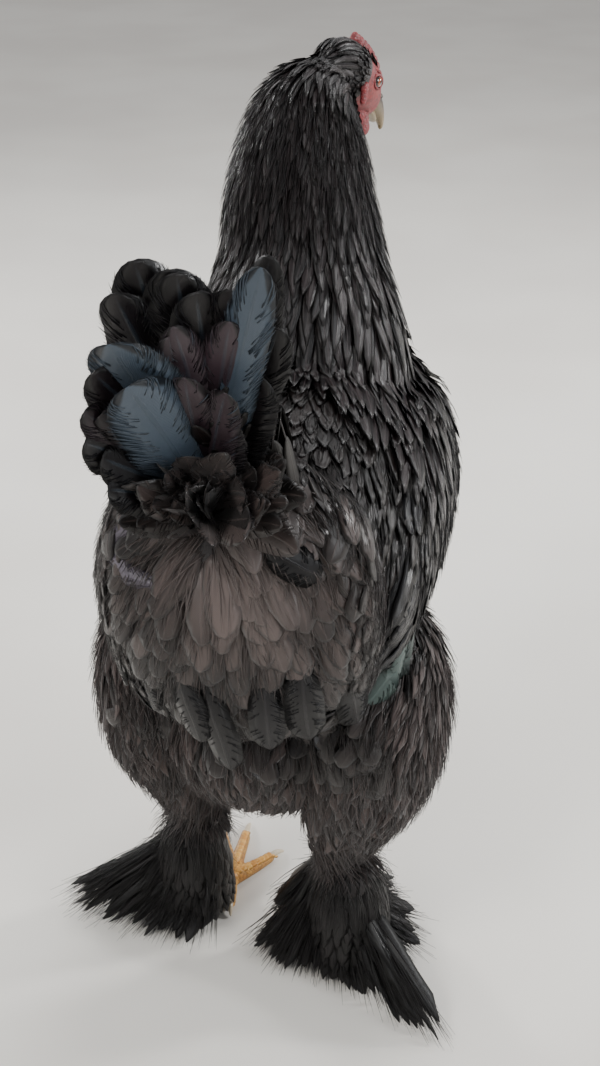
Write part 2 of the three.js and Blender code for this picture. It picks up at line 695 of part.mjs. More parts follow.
// Saddle feathers on the back, which make the torso whole
const saddle = laidRows(
  torsoForm,
  [
    { t: 0.44, from: -126, to: -54, count: 5, length: 60, width: 38 },
    { t: 0.56, from: -132, to: -48, count: 5, length: 60, width: 42 },
    { t: 0.68, from: -134, to: -46, count: 5, length: 58, width: 38 },
  ].map((row) => ({ ...row, lift: 4, fan: 14 })),
  { seed: 61 },
);
const torso = place("torso", fuse(torsoCore, cleared(saddle, [neck, rump, wings, tail])), plumage);

// Thighs in long loose down, with locks that hang past the hock
const thighForm = (s, [x, y]) =>
  new Form(
    [
      [s * 54 - 2, y - 18, 286, 40, 60],
      [s * 67 - 2, y - 12, 232, 56, 82],
      [s * 70 - 2, y - 6, 180, 52, 74],
      [mix(x, s * 68, 0.5), y - 3, 134, 38, 50],
      [x + s * 3, y - 2, 94, 24, 28],
    ],
    { ends: [0.2, 0.16] },
  );
const thighs = SIDES.map(({ name, s, hock }, side) => {
  const form = thighForm(s, hock);
  const core = clearOf(form.solid(5, 14), torso, wings, rump);
  const outer = s > 0 ? 0 : 180;
  const locks = laidRows(
    form,
    [
      { t: 0.42, from: outer - 75, to: outer + 75, count: 3, length: 62, width: 52 },
      { t: 0.62, from: outer - 100, to: outer + 100, count: 3, length: 60, width: 54 },
      { t: 0.78, from: outer - 110, to: outer + 110, count: 3, length: 52, width: 44 },
    ].map((row) => ({ ...row, lift: 7, shape: POINTED })),
    { seed: 71 + side },
  );
  return place(`thigh_${name}`, fuse(core, cleared(locks, [torso, wings, rump])), down);
});

// Belly down between the thighs
const bellyForm = new Form(
  [
    [BODY_X, -0.3 * BODY_LENGTH, 222, 58, 50],
    [BODY_X, -0.1 * BODY_LENGTH, 210, 76, 64],
    [BODY_X, 0.14 * BODY_LENGTH, 204, 78, 68],
    [BODY_X, 0.34 * BODY_LENGTH, 216, 60, 52],
  ],
  { ends: [0.3, 0.3] },
);
place("belly", clearOf(bellyForm.solid(3, 12), torso, thighs, rump), down);

// Floor, which trims what would reach below the soles
const floorBlock = solidOf(new THREE.BoxGeometry(900, 900, 60).translate(0, 0, SOLE - 30));
const onFloor = (solid) => largest(solid.subtract(floorBlock));

// Shanks with rows of scutes in front, and feet with their toes flat on the floor
const hockOf = ({ hock }) => vec(...hock, HOCK_HEIGHT);
const ankleOf = ({ foot }) => vec(...foot, ANKLE_HEIGHT);
function shankForm(leg) {
  const [top, end] = [hockOf(leg), ankleOf(leg)];
  const stations = [
    [...top.toArray(), SHANK_RADIUS * 1.25, SHANK_RADIUS * 1.35],
    [...top.lerp(end, 0.5).toArray(), SHANK_RADIUS, SHANK_RADIUS * 1.1],
    [...end.toArray(), SHANK_RADIUS * 1.1, SHANK_RADIUS * 1.2],
  ];
  return new Form(stations, { ends: [0.12, 0.12] });
}

// A leg or toe whose front or top carries raised scutes, each a step out and a slope back in
function scaly(form, { count, sides, height, faces }) {
  const [head, tail] = form.ends;
  const edges = spread(head, 1 - tail, count + 1);
  const rings = edges.slice(0, -1).flatMap((t, i) => [t + 0.004, mix(t, edges[i + 1], 0.93)]);
  const raise = (i, angle) =>
    i >= 0 && i < rings.length ? (i % 2 ? 0 : height) * Math.max(0, Math.cos(angle - faces)) : 0;
  return form.solid(0, sides, { cap: 2, rings, raise });
}

const TOES = [
  { name: "inner", turn: -34, length: 46, claw: 13 },
  { name: "middle", turn: 2, length: 60, claw: 15 },
  { name: "outer", turn: 38, length: 50, claw: 13 },
  { name: "back", turn: 196, length: 24, claw: 12 },
];
const toeDirection = (s, turn) => vec(s * Math.sin(rad(turn)), -Math.cos(rad(turn)), 0);
function toeForm(leg, { turn, length }) {
  const dir = toeDirection(leg.s, turn);
  const at = (along, z) => ankleOf(leg).addScaledVector(dir, along).setZ(SOLE + z).toArray();
  return new Form(
    [
      [...at(-4, TOE_RADIUS + 2.6), TOE_RADIUS * 1.2, TOE_RADIUS * 1.45],
      [...at(length * 0.55, TOE_RADIUS * 0.84), TOE_RADIUS, TOE_RADIUS],
      [...at(length, TOE_RADIUS * 0.64), TOE_RADIUS * 0.72, TOE_RADIUS * 0.78],
    ],
    { across: dir.clone().cross(UP), ends: [0.14, 0.14] },
  );
}
function clawForm(leg, { turn, length, claw }) {
  const dir = toeDirection(leg.s, turn);
  const at = (along, z) => ankleOf(leg).addScaledVector(dir, length - 4 + along).setZ(SOLE + z).toArray();
  return new Form(
    [
      [...at(0, 4.2), 2.4, 2.8],
      [...at(claw * 0.55, 4), 1.9, 2.1],
      [...at(claw, 1.6), 0.8, 0.9],
    ],
    { across: dir.clone().cross(UP), ends: [0.12, 0.12] },
  );
}

// The thick feathering on the outer and rear side of the shank, as one soft core under its long feathers
function bootForm(leg) {
  const at = (share, out, back) =>
    hockOf(leg).lerp(ankleOf(leg), share).addScaledVector(LEFT, leg.s * out).addScaledVector(BACK, back).toArray();
  const stations = [
    [...at(0.05, 8, 6), 13, 15],
    [...at(0.45, 14, 12), 20, 23],
    [...at(0.88, 20, 18), 21, 25],
  ];
  return new Form(stations, { ends: [0.22, 0.22] });
}

// Feathers that grow outwards from the shank and the outer toe and trail on the floor.
// Their azimuth turns from straight back towards the outer side.
const legVane = (s, root, azimuth, fall, how) => {
  const dir = aim(s * azimuth, 0);
  const towards = dir.clone().multiplyScalar(Math.cos(fall)).addScaledVector(UP, -Math.sin(fall));
  return freeVane(root, towards, UP, { camber: 0.16, ...how });
};
const SHANK_TIERS = {
  left: [
    { height: 75, azimuths: [6, 126], count: 3, length: 64, width: 42, tip: 16 },
    { height: 66, azimuths: [56, 84], count: 2, length: 104, width: 28, tip: 36 },
    { height: 52, azimuths: [30, 90], count: 3, length: 120, width: 28, tip: 5 },
    { height: 36, azimuths: [4, 118], count: 3, length: 62, width: 30, tip: 3 },
  ],
  right: [
    { height: 75, azimuths: [-20, 116], count: 3, length: 64, width: 44, tip: 16 },
    { height: 64, azimuths: [26, 58], count: 2, length: 96, width: 28, tip: 30 },
    { height: 52, azimuths: [6, 60], count: 3, length: 124, width: 28, tip: 5 },
    { height: 36, azimuths: [-20, 112], count: 3, length: 58, width: 30, tip: 3 },
  ],
};
const TOE_VANES = [
  { toe: 2, along: [0.2, 0.95], azimuths: [106, 126], length: [62, 48], count: 2 },
  { toe: 1, along: [0.8, 0.8], azimuths: [140, 140], length: [40, 40], count: 1 },
];

SIDES.forEach((leg, side) => {
  const { name, s } = leg;
  const vary = dice(81 + side);
  const shankCore = clearOf(scaly(shankForm(leg), { count: 4, sides: 9, height: 1.1, faces: rad(90) }), thighs[side]);
  const toes = TOES.map((toe) =>
    scaly(toeForm(leg, toe), { count: toe.name === "back" ? 2 : 3, sides: 6, height: 0.8, faces: rad(-90) }),
  );
  const footCore = clearOf(onFloor(fuse(toes)), shankCore);

  const toeVanes = TOE_VANES.flatMap(({ toe, along, azimuths, length, count }) =>
    spread(0, 1, count).map((k) => {
      const form = toeForm(leg, TOES[toe]);
      const root = form.path.getPoint(mix(...along, k) * 0.9).setZ(SOLE + 5);
      const how = { length: mix(...length, k) * (1 + vary(0.06)), width: 23, sink: 3 };
      return [0.02, -0.03, -0.08].map((fall) => legVane(s, root, mix(...azimuths, k), fall, how));
    }),
  );
  const claws = TOES.map((toe) => clearOf(onFloor(clawForm(leg, toe).solid(2, 5, { cap: 1 })), footCore));
  const foot = place(`foot_${name}`, onFloor(fuse(footCore, cleared(toeVanes, [shankCore, claws]))), yellowScale);
  TOES.forEach((toe, i) => place(`claw_${name}_${toe.name}`, claws[i], horn));

  const shankVanes = SHANK_TIERS[name].flatMap(({ height, azimuths, count, length, width, tip }) =>
    spread(...azimuths, count).map((azimuth) => {
      const share = (HOCK_HEIGHT - height) / (HOCK_HEIGHT - ANKLE_HEIGHT);
      const reach = length * (1 + vary(0.1));
      const turn = azimuth + vary(5);
      const root = hockOf(leg).lerp(ankleOf(leg), share).addScaledVector(aim(s * turn, 0), SHANK_RADIUS * 0.8);
      const how = { length: reach, width: width + vary(4), sink: 5, bend: -0.04, side: vary(0.12) };
      return [0, 6, 12].map((more) => legVane(s, root, turn, Math.asin((height - tip - more) / reach), how));
    }),
  );
  const boot = clearOf(bootForm(leg).solid(3, 10, { cap: 2 }), thighs[side], foot, claws);
  const clearShank = cleared(shankVanes, [thighs[side], foot, claws]);
  place(`shank_${name}`, onFloor(fuse(shankCore, boot, clearShank)), yellowScale);
});

// The origin lies on the floor, under the middle of the bird's box
hen.position.set(...ORIGIN_SHIFT);

export default hen;
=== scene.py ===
# A standing brahma hen, life size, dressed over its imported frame:
# one skin under the whole body, and every feather as a thin closed vane laid on it.
import math
import bmesh
import bpy
import numpy as np
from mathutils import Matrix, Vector
from mathutils.bvhtree import BVHTree


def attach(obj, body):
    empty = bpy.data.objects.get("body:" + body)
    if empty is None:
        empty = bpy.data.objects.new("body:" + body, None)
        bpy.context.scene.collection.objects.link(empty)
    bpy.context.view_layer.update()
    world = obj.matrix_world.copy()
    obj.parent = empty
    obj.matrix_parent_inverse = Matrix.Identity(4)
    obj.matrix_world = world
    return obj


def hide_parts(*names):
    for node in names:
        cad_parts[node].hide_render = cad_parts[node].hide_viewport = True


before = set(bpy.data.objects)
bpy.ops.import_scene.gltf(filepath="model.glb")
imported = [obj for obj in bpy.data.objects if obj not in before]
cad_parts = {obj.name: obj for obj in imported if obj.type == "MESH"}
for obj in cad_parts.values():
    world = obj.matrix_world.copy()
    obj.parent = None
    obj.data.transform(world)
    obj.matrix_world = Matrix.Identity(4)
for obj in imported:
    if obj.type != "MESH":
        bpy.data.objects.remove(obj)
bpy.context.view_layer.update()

# Sizes in millimetres, in the bird's own frame, as in the solids
MM = 0.001
SHIFT = np.array([-1.6, -0.6, 0.0])
BODY_LENGTH = 336
BODY_MIDDLE = 322
BODY_X = -4
HALF_WIDTH = 103
HALF_HEIGHT = 108
BACK_TOP = BODY_MIDDLE + HALF_HEIGHT
HEAD_AT = np.array([-12.0, -164.0, 570.0])
HEAD_TURN = math.radians(20)
HEAD_DIP = math.radians(36)
EYE_RADIUS = 4.6
WING_THICK = 10
COAT = 6.5
ANKLE_HEIGHT = 15
HOCK_HEIGHT = 92
SHANK_RADIUS = 7.6
TOE_RADIUS = 5.4
# Feet and hocks by their places to the left and behind, then toes by their turn in degrees from
# straight ahead, their length and their claw's length
LEGS = (
    {"name": "left", "s": 1, "foot": (38, 8), "hock": (48, 26)},
    {"name": "right", "s": -1, "foot": (-44, 34), "hock": (-54, 48)},
)
TOES = (("inner", -34, 46, 13), ("middle", 2, 60, 15), ("outer", 38, 50, 13), ("back", 196, 24, 12))
UP = np.array([0.0, 0.0, 1.0])
BACK = np.array([0.0, 1.0, 0.0])
LEFT = np.array([1.0, 0.0, 0.0])

# Least height of a vane over the floor, depth of a feather's root in the skin,
# cell of the skin's mesh, and number of places on it from which roots are taken
LOWEST = 0.3
ROOT_DEPTH = 1.2
SKIN_VOXEL = 1.8
SKIN_SAMPLES = 150000

luck = np.random.default_rng(7)


def unit(v):
    return v / np.maximum(np.linalg.norm(v, axis=-1, keepdims=True), 1e-9)


def mixed(a, b, share):
    return a + (b - a) * share


def ramp(x, low, high):
    t = np.clip((x - low) / (high - low), 0, 1)
    return t * t * (3 - 2 * t)


def aim(azimuth, elevation):
    """Direction from degrees to the left of straight back, and degrees up"""
    a, e = math.radians(azimuth), math.radians(elevation)
    return np.array([math.cos(e) * math.sin(a), math.cos(e) * math.cos(a), math.sin(e)])


def bow(start, middle, end, s):
    """A curve from start to end, drawn towards the middle point"""
    return start * (1 - s) ** 2 + middle * 2 * s * (1 - s) + end * s * s


class Form:
    """A rounded body along a smooth path of stations: x, y, z, half width, half depth"""

    def __init__(self, stations, across=LEFT, ends=(0.2, 0.2), thinner=0.0):
        self.stations = np.array(stations, float)
        self.stations[:, 3:] -= thinner
        self.across = np.array(across, float)
        self.ends = ends

    def smooth(self, t):
        s = self.stations
        last = len(s) - 1
        x = np.clip(np.asarray(t, float), 0, 1) * last
        i = np.minimum(x.astype(int), last - 1)
        f = (x - i)[..., None]
        a, b = s[i], s[i + 1]
        before = np.where((i > 0)[..., None], s[np.maximum(i - 1, 0)], 2 * a - b)
        after = np.where((i < last - 1)[..., None], s[np.minimum(i + 2, last)], 2 * b - a)
        m0, m1 = (b - before) / 2, (after - a) / 2
        f2, f3 = f * f, f * f * f
        return (2 * f3 - 3 * f2 + 1) * a + (f3 - 2 * f2 + f) * m0 + (3 * f2 - 2 * f3) * b + (f3 - f2) * m1

    def centre(self, t):
        return self.smooth(t)[..., :3]

    def at(self, t, angle):
        t = np.clip(np.asarray(t, float), 0, 1)
        here = self.smooth(t)
        along = unit(self.centre(np.minimum(t + 0.01, 1)) - self.centre(np.maximum(t - 0.01, 0)))
        side = unit(self.across - along * (along @ self.across)[..., None])
        deep = np.cross(along, side)
        head, tail = self.ends
        round_head = np.sqrt(np.clip(1 - np.clip(1 - t / head, 0, 1) ** 2, 0, 1))
        round_tail = np.sqrt(np.clip(1 - np.clip(1 - (1 - t) / tail, 0, 1) ** 2, 0, 1))
        size = (round_head * round_tail)[..., None]
        width = here[..., 3:4] * size * np.cos(angle)[..., None]
        depth = here[..., 4:5] * size * np.sin(angle)[..., None]
        return here[..., :3] + side * width + deep * depth


# Forms of the body, as in the solids
TORSO = [
    (BODY_X, -0.5 * BODY_LENGTH, BODY_MIDDLE + 6, HALF_WIDTH * 0.74, HALF_HEIGHT * 0.76),
    (BODY_X, -0.3 * BODY_LENGTH, BODY_MIDDLE + 4, HALF_WIDTH * 0.96, HALF_HEIGHT * 0.97),
    (BODY_X, -0.1 * BODY_LENGTH, BODY_MIDDLE, HALF_WIDTH, HALF_HEIGHT),
    (BODY_X, 0.12 * BODY_LENGTH, BODY_MIDDLE, HALF_WIDTH * 0.97, HALF_HEIGHT * 0.98),
    (BODY_X, 0.28 * BODY_LENGTH, BODY_MIDDLE - 2, HALF_WIDTH * 0.9, HALF_HEIGHT * 0.92),
    (BODY_X, 0.41 * BODY_LENGTH, BODY_MIDDLE - 8, HALF_WIDTH * 0.68, HALF_HEIGHT * 0.68),
]
NECK = [
    (0, -50, BACK_TOP - 56, 76, 60),
    (2, -76, BACK_TOP - 10, 70, 64),
    (6, -99, BACK_TOP + 34, 57, 55),
    (11, -112, BACK_TOP + 78, 50, 49),
    (9, -126, BACK_TOP + 118, 41, 41),
    (-3, -140, BACK_TOP + 156, 28, 30),
]
RUMP = [
    (-2, 92, 424, 42, 24),
    (-3, 102, 384, 76, 46),
    (-4, 106, 332, 86, 55),
    (-5, 98, 278, 78, 50),
    (-6, 90, 250, 54, 38),
]
TAIL_STUB = [(0, 102, 402, 28, 16), (3, 122, 430, 31, 15), (5, 136, 456, 22, 9)]
BELLY = [
    (BODY_X, -0.3 * BODY_LENGTH, 222, 58, 50),
    (BODY_X, -0.1 * BODY_LENGTH, 210, 76, 64),
    (BODY_X, 0.14 * BODY_LENGTH, 204, 78, 68),
    (BODY_X, 0.34 * BODY_LENGTH, 216, 60, 52),
]


def thigh_stations(s, hock):
    x, y = hock
    return [
        (s * 54 - 2, y - 18, 286, 40, 60),
        (s * 67 - 2, y - 12, 232, 56, 82),
        (s * 70 - 2, y - 6, 180, 52, 74),
        ((x + s * 68) / 2, y - 3, 134, 38, 50),
        (x + s * 3, y - 2, 94, 24, 28),
    ]


torso_form = Form(TORSO, ends=(0.22, 0.24), thinner=COAT)
neck_form = Form(NECK, ends=(0.12, 0.18), thinner=COAT - 2)
rump_form = Form(RUMP, ends=(0.22, 0.2), thinner=COAT)
stub_form = Form(TAIL_STUB, ends=(0.16, 0.3), thinner=2)
belly_form = Form(BELLY, ends=(0.3, 0.3), thinner=COAT)
thigh_forms = [
    Form(thigh_stations(leg["s"], leg["hock"]), ends=(0.2, 0.16), thinner=COAT + 2) for leg in LEGS
]

# Head, in its own directions, with its stations as forward, up, half width and half depth
HEAD_YAW = np.array([-math.sin(HEAD_TURN), -math.cos(HEAD_TURN), 0.0])
HEAD_FORWARD = HEAD_YAW * math.cos(HEAD_DIP) - UP * math.sin(HEAD_DIP)
HEAD_LEFT = np.cross(UP, HEAD_YAW)
HEAD_UP = np.cross(HEAD_FORWARD, HEAD_LEFT)


def on_head(forward, left, up):
    return HEAD_AT + HEAD_FORWARD * forward + HEAD_LEFT * left + HEAD_UP * up


def in_head(p):
    """How far forward, left and up of the head's middle a place is"""
    local = p - HEAD_AT
    return local @ HEAD_FORWARD, local @ HEAD_LEFT, local @ HEAD_UP


def head_form(stations, ends, thinner=0.0):
    placed = [(*on_head(forward, 0, up), w, d) for forward, up, w, d in stations]
    return Form(placed, across=HEAD_LEFT, ends=ends, thinner=thinner)


SKULL = (
    (-32, -3, 15.5, 17.6),
    (-12.8, 0, 18.1, 21),
    (7.7, 0, 17.4, 19.3),
    (23, -2, 12.2, 15.1),
    (32, -3, 8.9, 10.9),
)
skull_form = head_form(SKULL, (0.26, 0.14), thinner=0.4)


def hock_of(leg):
    return np.array([*leg["hock"], HOCK_HEIGHT], float)


def ankle_of(leg):
    return np.array([*leg["foot"], ANKLE_HEIGHT], float)


def shank_form(leg):
    top, end = hock_of(leg), ankle_of(leg)
    r = SHANK_RADIUS - 0.6
    stations = [(*top, r * 1.25, r * 1.35), (*((top + end) / 2), r, r * 1.1), (*end, r * 1.1, r * 1.2)]
    return Form(stations, ends=(0.12, 0.12))


def boot_form(leg):
    """The soft core of the leg feathers, on the outer and rear side of the shank"""
    top, end = hock_of(leg), ankle_of(leg)
    stations = []
    for share, out, back, w, d in ((0.0, 8, 6, 19, 21), (0.45, 14, 12, 21, 24), (0.86, 19, 17, 20, 23)):
        x, y, z = mixed(top, end, share) + LEFT * leg["s"] * out + BACK * back
        stations.append((x, y, z, w, d))
    return Form(stations, ends=(0.22, 0.22))


def toe_direction(leg, turn):
    return np.array([leg["s"] * math.sin(math.radians(turn)), -math.cos(math.radians(turn)), 0.0])


def toe_form(leg, turn, length):
    way = toe_direction(leg, turn)
    r = TOE_RADIUS
    steps = (
        (-4, r + 2.6, r * 1.2, r * 1.45),
        (length * 0.55, r * 0.84, r, r),
        (length, r * 0.64, r * 0.72, r * 0.78),
    )
    stations = []
    for along, z, w, d in steps:
        x, y, _ = ankle_of(leg) + way * along
        stations.append((x, y, z, w - 0.3, d - 0.3))
    return Form(stations, across=np.cross(way, UP), ends=(0.14, 0.14))


class Pad:
    """A folded wing: a pad over part of the torso's surface"""

    def __init__(self, s):
        self.s = s

    def place(self, u, v):
        u, v = np.asarray(u, float), np.asarray(v, float)
        middle = np.radians(-26 + 40 * u)
        middle = middle if self.s > 0 else np.pi - middle
        half = self.s * np.radians(34 - 19 * u * u) * np.sqrt(np.sin(np.pi * (0.16 + 0.7 * u)))
        return 0.16 + 0.76 * u, middle + v * half

    def at(self, u, v, height=0.0):
        t, angle = self.place(u, v)
        point = torso_form.at(t, angle)
        away = unit(point - torso_form.centre(t))
        return point + away * np.asarray(height)[..., None]

    def swell(self, u, v):
        rounded = np.sqrt(np.clip(1 - v * v, 0, 1))
        return (WING_THICK - 3) * rounded * np.sqrt(np.sin(np.pi * (0.08 + 0.84 * u)))


PADS = [Pad(leg["s"]) for leg in LEGS]


# Meshes
def linked(name, data):
    piece = bpy.data.objects.new(name, data)
    bpy.context.scene.collection.objects.link(piece)
    return piece


def object_of(bm, name):
    mesh = bpy.data.meshes.new(name)
    bm.to_mesh(mesh)
    bm.free()
    return linked(name, mesh)


def smooth_object(bm, name):
    bmesh.ops.recalc_face_normals(bm, faces=bm.faces)
    piece = object_of(bm, name)
    piece.data.shade_smooth()
    return piece


def moved(verts, where):
    """Moves vertices to the bird's points, given in millimetres"""
    points = np.array([v.co for v in verts])
    for v, p in zip(verts, where(points)):
        v.co = Vector((p + SHIFT) * MM)


def add_form(bm, form, around=36, along=28):
    ball = bmesh.ops.create_uvsphere(bm, u_segments=around, v_segments=along, radius=1)["verts"]

    def where(p):
        t = np.arccos(np.clip(-p[:, 2], -1, 1)) / np.pi
        return form.at(t, np.arctan2(p[:, 1], p[:, 0]))

    moved(ball, where)


def add_pad(bm, pad):
    ball = bmesh.ops.create_uvsphere(bm, u_segments=40, v_segments=16, radius=1)["verts"]

    def where(p):
        u, v = 0.5 + 0.5 * p[:, 1], p[:, 0]
        height = np.where(p[:, 2] > 0, pad.swell(np.clip(u, 0, 1), v), -8 * np.abs(p[:, 2]))
        return pad.at(u, v, height)

    moved(ball, where)


def applied(piece):
    """The same piece with its modifiers made real"""
    graph = bpy.context.evaluated_depsgraph_get()
    graph.update()
    mesh = bpy.data.meshes.new_from_object(piece.evaluated_get(graph))
    piece.modifiers.clear()
    piece.data = mesh
    return piece


def melted(piece, voxel, smoothing):
    """The same piece with its overlapping forms joined into one softened surface"""
    join = piece.modifiers.new("join", "REMESH")
    join.mode = "VOXEL"
    join.voxel_size = voxel * MM
    soft = piece.modifiers.new("soften", "SMOOTH")
    soft.factor = 0.5
    soft.iterations = smoothing
    return applied(piece)


def make_skin():
    """The body without its feathers, fine at the head and feet and coarser under the coat"""
    bm = bmesh.new()
    for form in (torso_form, neck_form, rump_form, stub_form, belly_form, *thigh_forms):
        add_form(bm, form)
    for pad in PADS:
        add_pad(bm, pad)
    add_form(bm, skull_form, 32, 32)
    for leg in LEGS:
        add_form(bm, shank_form(leg), 24, 24)
        add_form(bm, boot_form(leg), 24, 20)
        for _, turn, length, _ in TOES:
            add_form(bm, toe_form(leg, turn, length), 20, 20)
    piece = melted(smooth_object(bm, "skin"), SKIN_VOXEL, 4)
    places = np.array([v.co for v in piece.data.vertices]) / MM - SHIFT
    near_head = 1 - ramp(np.linalg.norm(places - HEAD_AT, axis=1), 40, 60)
    near_foot = 1 - ramp(places[:, 2], 95, 120)
    coarse = piece.vertex_groups.new(name="coarse")
    for i, share in enumerate(np.maximum(near_head, near_foot)):
        coarse.add([i], float(1 - 0.98 * share), "REPLACE")
    fewer = piece.modifiers.new("fewer", "DECIMATE")
    fewer.ratio = 0.3
    fewer.vertex_group = coarse.name
    fewer.use_collapse_triangulate = True
    return applied(piece)


skin = make_skin()
skin_tree = BVHTree.FromPolygons(
    [v.co / MM - Vector(SHIFT) for v in skin.data.vertices], [tuple(p.vertices) for p in skin.data.polygons]
)


def normals_under(places):
    """The skin's normal at the point nearest to each place"""
    return np.array([skin_tree.find_nearest(Vector(p))[1] for p in places])



# One vane: rings of six points, flat below and ridged along the shaft above; a hair's rings have three.
# Each kind lists how far along its length a ring is, and how wide there.
RING = ((-1.0, 0.0), (-0.5, 0.7), (0.0, 1.0), (0.5, 0.7), (1.0, 0.0), (0.0, -0.7))
HAIR_RING = ((-1.0, -0.4), (0.0, 1.0), (1.0, -0.4))
KINDS = {
    "hackle": ((0, 0.35), (0.15, 0.75), (0.4, 1), (0.65, 0.85), (0.85, 0.5), (1, 0.08)),
    "broad": ((0, 0.3), (0.15, 0.75), (0.4, 1), (0.7, 0.98), (0.88, 0.75), (0.96, 0.45), (1, 0.12)),
    "short": ((0, 0.4), (0.25, 0.9), (0.6, 1), (0.85, 0.7), (1, 0.15)),
    "flight": ((0, 0.2), (0.1, 0.5), (0.25, 0.82), (0.45, 1), (0.65, 1), (0.78, 0.96), (0.86, 0.87),
               (0.92, 0.72), (0.96, 0.54), (0.985, 0.35), (1, 0.12)),
    "ragged": (
        (0, 0.3), (0.15, 0.8), (0.32, 1), (0.48, 0.95), (0.62, 0.84), (0.75, 0.66), (0.87, 0.42), (1, 0.06)
    ),
    "plume": (
        (0, 0.3), (0.15, 0.7), (0.35, 0.95), (0.55, 1), (0.72, 0.88), (0.86, 0.62), (0.95, 0.34), (1, 0.06)
    ),
    "hair": ((0, 0.9), (0.35, 1), (0.7, 0.8), (1, 0.12)),
    "scute": ((0, 0.7), (0.2, 0.95), (0.8, 1), (1, 0.85)),
}


def rings_of(kind):
    """How far along its length each ring of a vane is, from 0 to 1"""
    return np.array(KINDS[kind])[:, 0]


def vane_mesh(rings, sides):
    """A closed tube of rings. Gives the ring and the corner of each point, and the faces."""
    bm = bmesh.new()
    bmesh.ops.create_circle(bm, segments=sides, radius=1)
    edges = list(bm.edges)
    for _ in range(rings - 1):
        grown = bmesh.ops.extrude_edge_only(bm, edges=edges)["geom"]
        edges = [g for g in grown if isinstance(g, bmesh.types.BMEdge)]
        bmesh.ops.translate(bm, verts=[g for g in grown if isinstance(g, bmesh.types.BMVert)], vec=(0, 0, 1))
    bmesh.ops.holes_fill(bm, edges=[e for e in bm.edges if e.is_boundary], sides=sides)
    bmesh.ops.recalc_face_normals(bm, faces=bm.faces)
    co = np.array([v.co for v in bm.verts])
    ring = np.rint(co[:, 2]).astype(int)
    angles = np.arctan2(co[:, 1], -co[:, 0])
    corner = np.rint((angles - angles[0]) / (2 * np.pi / sides)).astype(int) % sides
    faces = [[v.index for v in f.verts] for f in bm.faces]
    bm.free()
    return ring, corner, faces


def lay(name, kind, spine, out, width, thick, camber, jag=0.0, tone=None, spot=None, patch=0.003):
    """Joined vanes. spine and out are (count, rings, 3), and the sizes one number, or one for each vane."""
    shape = np.array(KINDS[kind])
    count, rings = spine.shape[:2]
    width, thick, camber = (
        np.broadcast_to(np.asarray(a, float), count)[:, None] for a in (width, thick, camber)
    )
    outline = HAIR_RING if kind == "hair" else RING
    ring, corner, faces = vane_mesh(rings, len(outline))
    way = unit(np.gradient(spine, axis=1))
    cross = unit(np.cross(out, way))
    rise = unit(np.cross(way, cross))
    across, high = np.array(outline)[corner].T
    along = shape[ring, 0]
    half = (width / 2) * shape[:, 1]
    rough = 1 + jag * luck.uniform(-1, 0.6, (count, rings, 2)) * (shape[:, 0] > 0.1)[None, :, None]
    edge = np.where(across < 0, rough[:, ring, 0], rough[:, ring, 1])
    reach = across * half[:, ring] * edge
    up = high * (thick / 2) * (1.1 - 0.6 * along)
    up = up - camber * half[:, ring] * across * across
    points = spine[:, ring] + cross[:, ring] * reach[..., None] + rise[:, ring] * up[..., None]
    points = points.reshape(-1, 3)
    points[:, 2] = np.maximum(points[:, 2], LOWEST)
    mesh = bpy.data.meshes.new(name)
    size = len(ring)
    every = [[v + k * size for v in face] for k in range(count) for face in faces]
    mesh.from_pydata(((points + SHIFT) * MM).tolist(), [], every)
    piece = linked(name, mesh)
    corners = np.zeros(len(mesh.loops), int)
    mesh.loops.foreach_get("vertex_index", corners)
    local, which = corners % size, corners // size
    on_vane = np.stack([(across[local] + 1) / 2, along[local]], 1)
    put_map(mesh, "vane", on_vane)
    spot = luck.uniform(0.02, 0.98, (count, 2)) if spot is None else spot
    put_map(mesh, "OFBake", spot[which] + (on_vane - 0.5) * patch)
    tones = luck.uniform(0, 1, count) if tone is None else tone
    carry(piece, "tone", np.repeat(tones, size))
    mesh.shade_smooth()
    return piece


def carry(piece, name, values):
    """Keeps a number on each point of a piece, for its material"""
    kept = piece.data.attributes.new(name, "FLOAT", "POINT")
    kept.data.foreach_set("value", np.asarray(values, np.float32))


def put_map(mesh, name, places):
    layer = mesh.uv_layers.new(name=name)
    layer.data.foreach_set("uv", places.astype(np.float32).ravel())


def strips(count, columns):
    """Places and sizes of long patches side by side, for the few big feathers"""
    rows = math.ceil(count / columns)
    k = np.arange(count)
    spot = np.stack([(k % columns + 0.5) / columns, (k // columns + 0.5) / rows], 1)
    return spot, np.array([0.9 / columns, 0.94 / rows])


# The lie of the coat, as a direction at each place; it parts round the foot of the tail
TAIL_FOOT = np.array([3.0, 116.0, 424.0])
BODY_LIE = np.array([0.0, 0.86, -0.5])
NECK_LIE = np.array([0.0, 0.4, -0.9])
LEG_LIE = np.array([0.0, 0.12, -1.0])
STUB_LOW, STUB_REACH = 412, 52
PARTING_LOW, PARTING_REACH = 380, 62


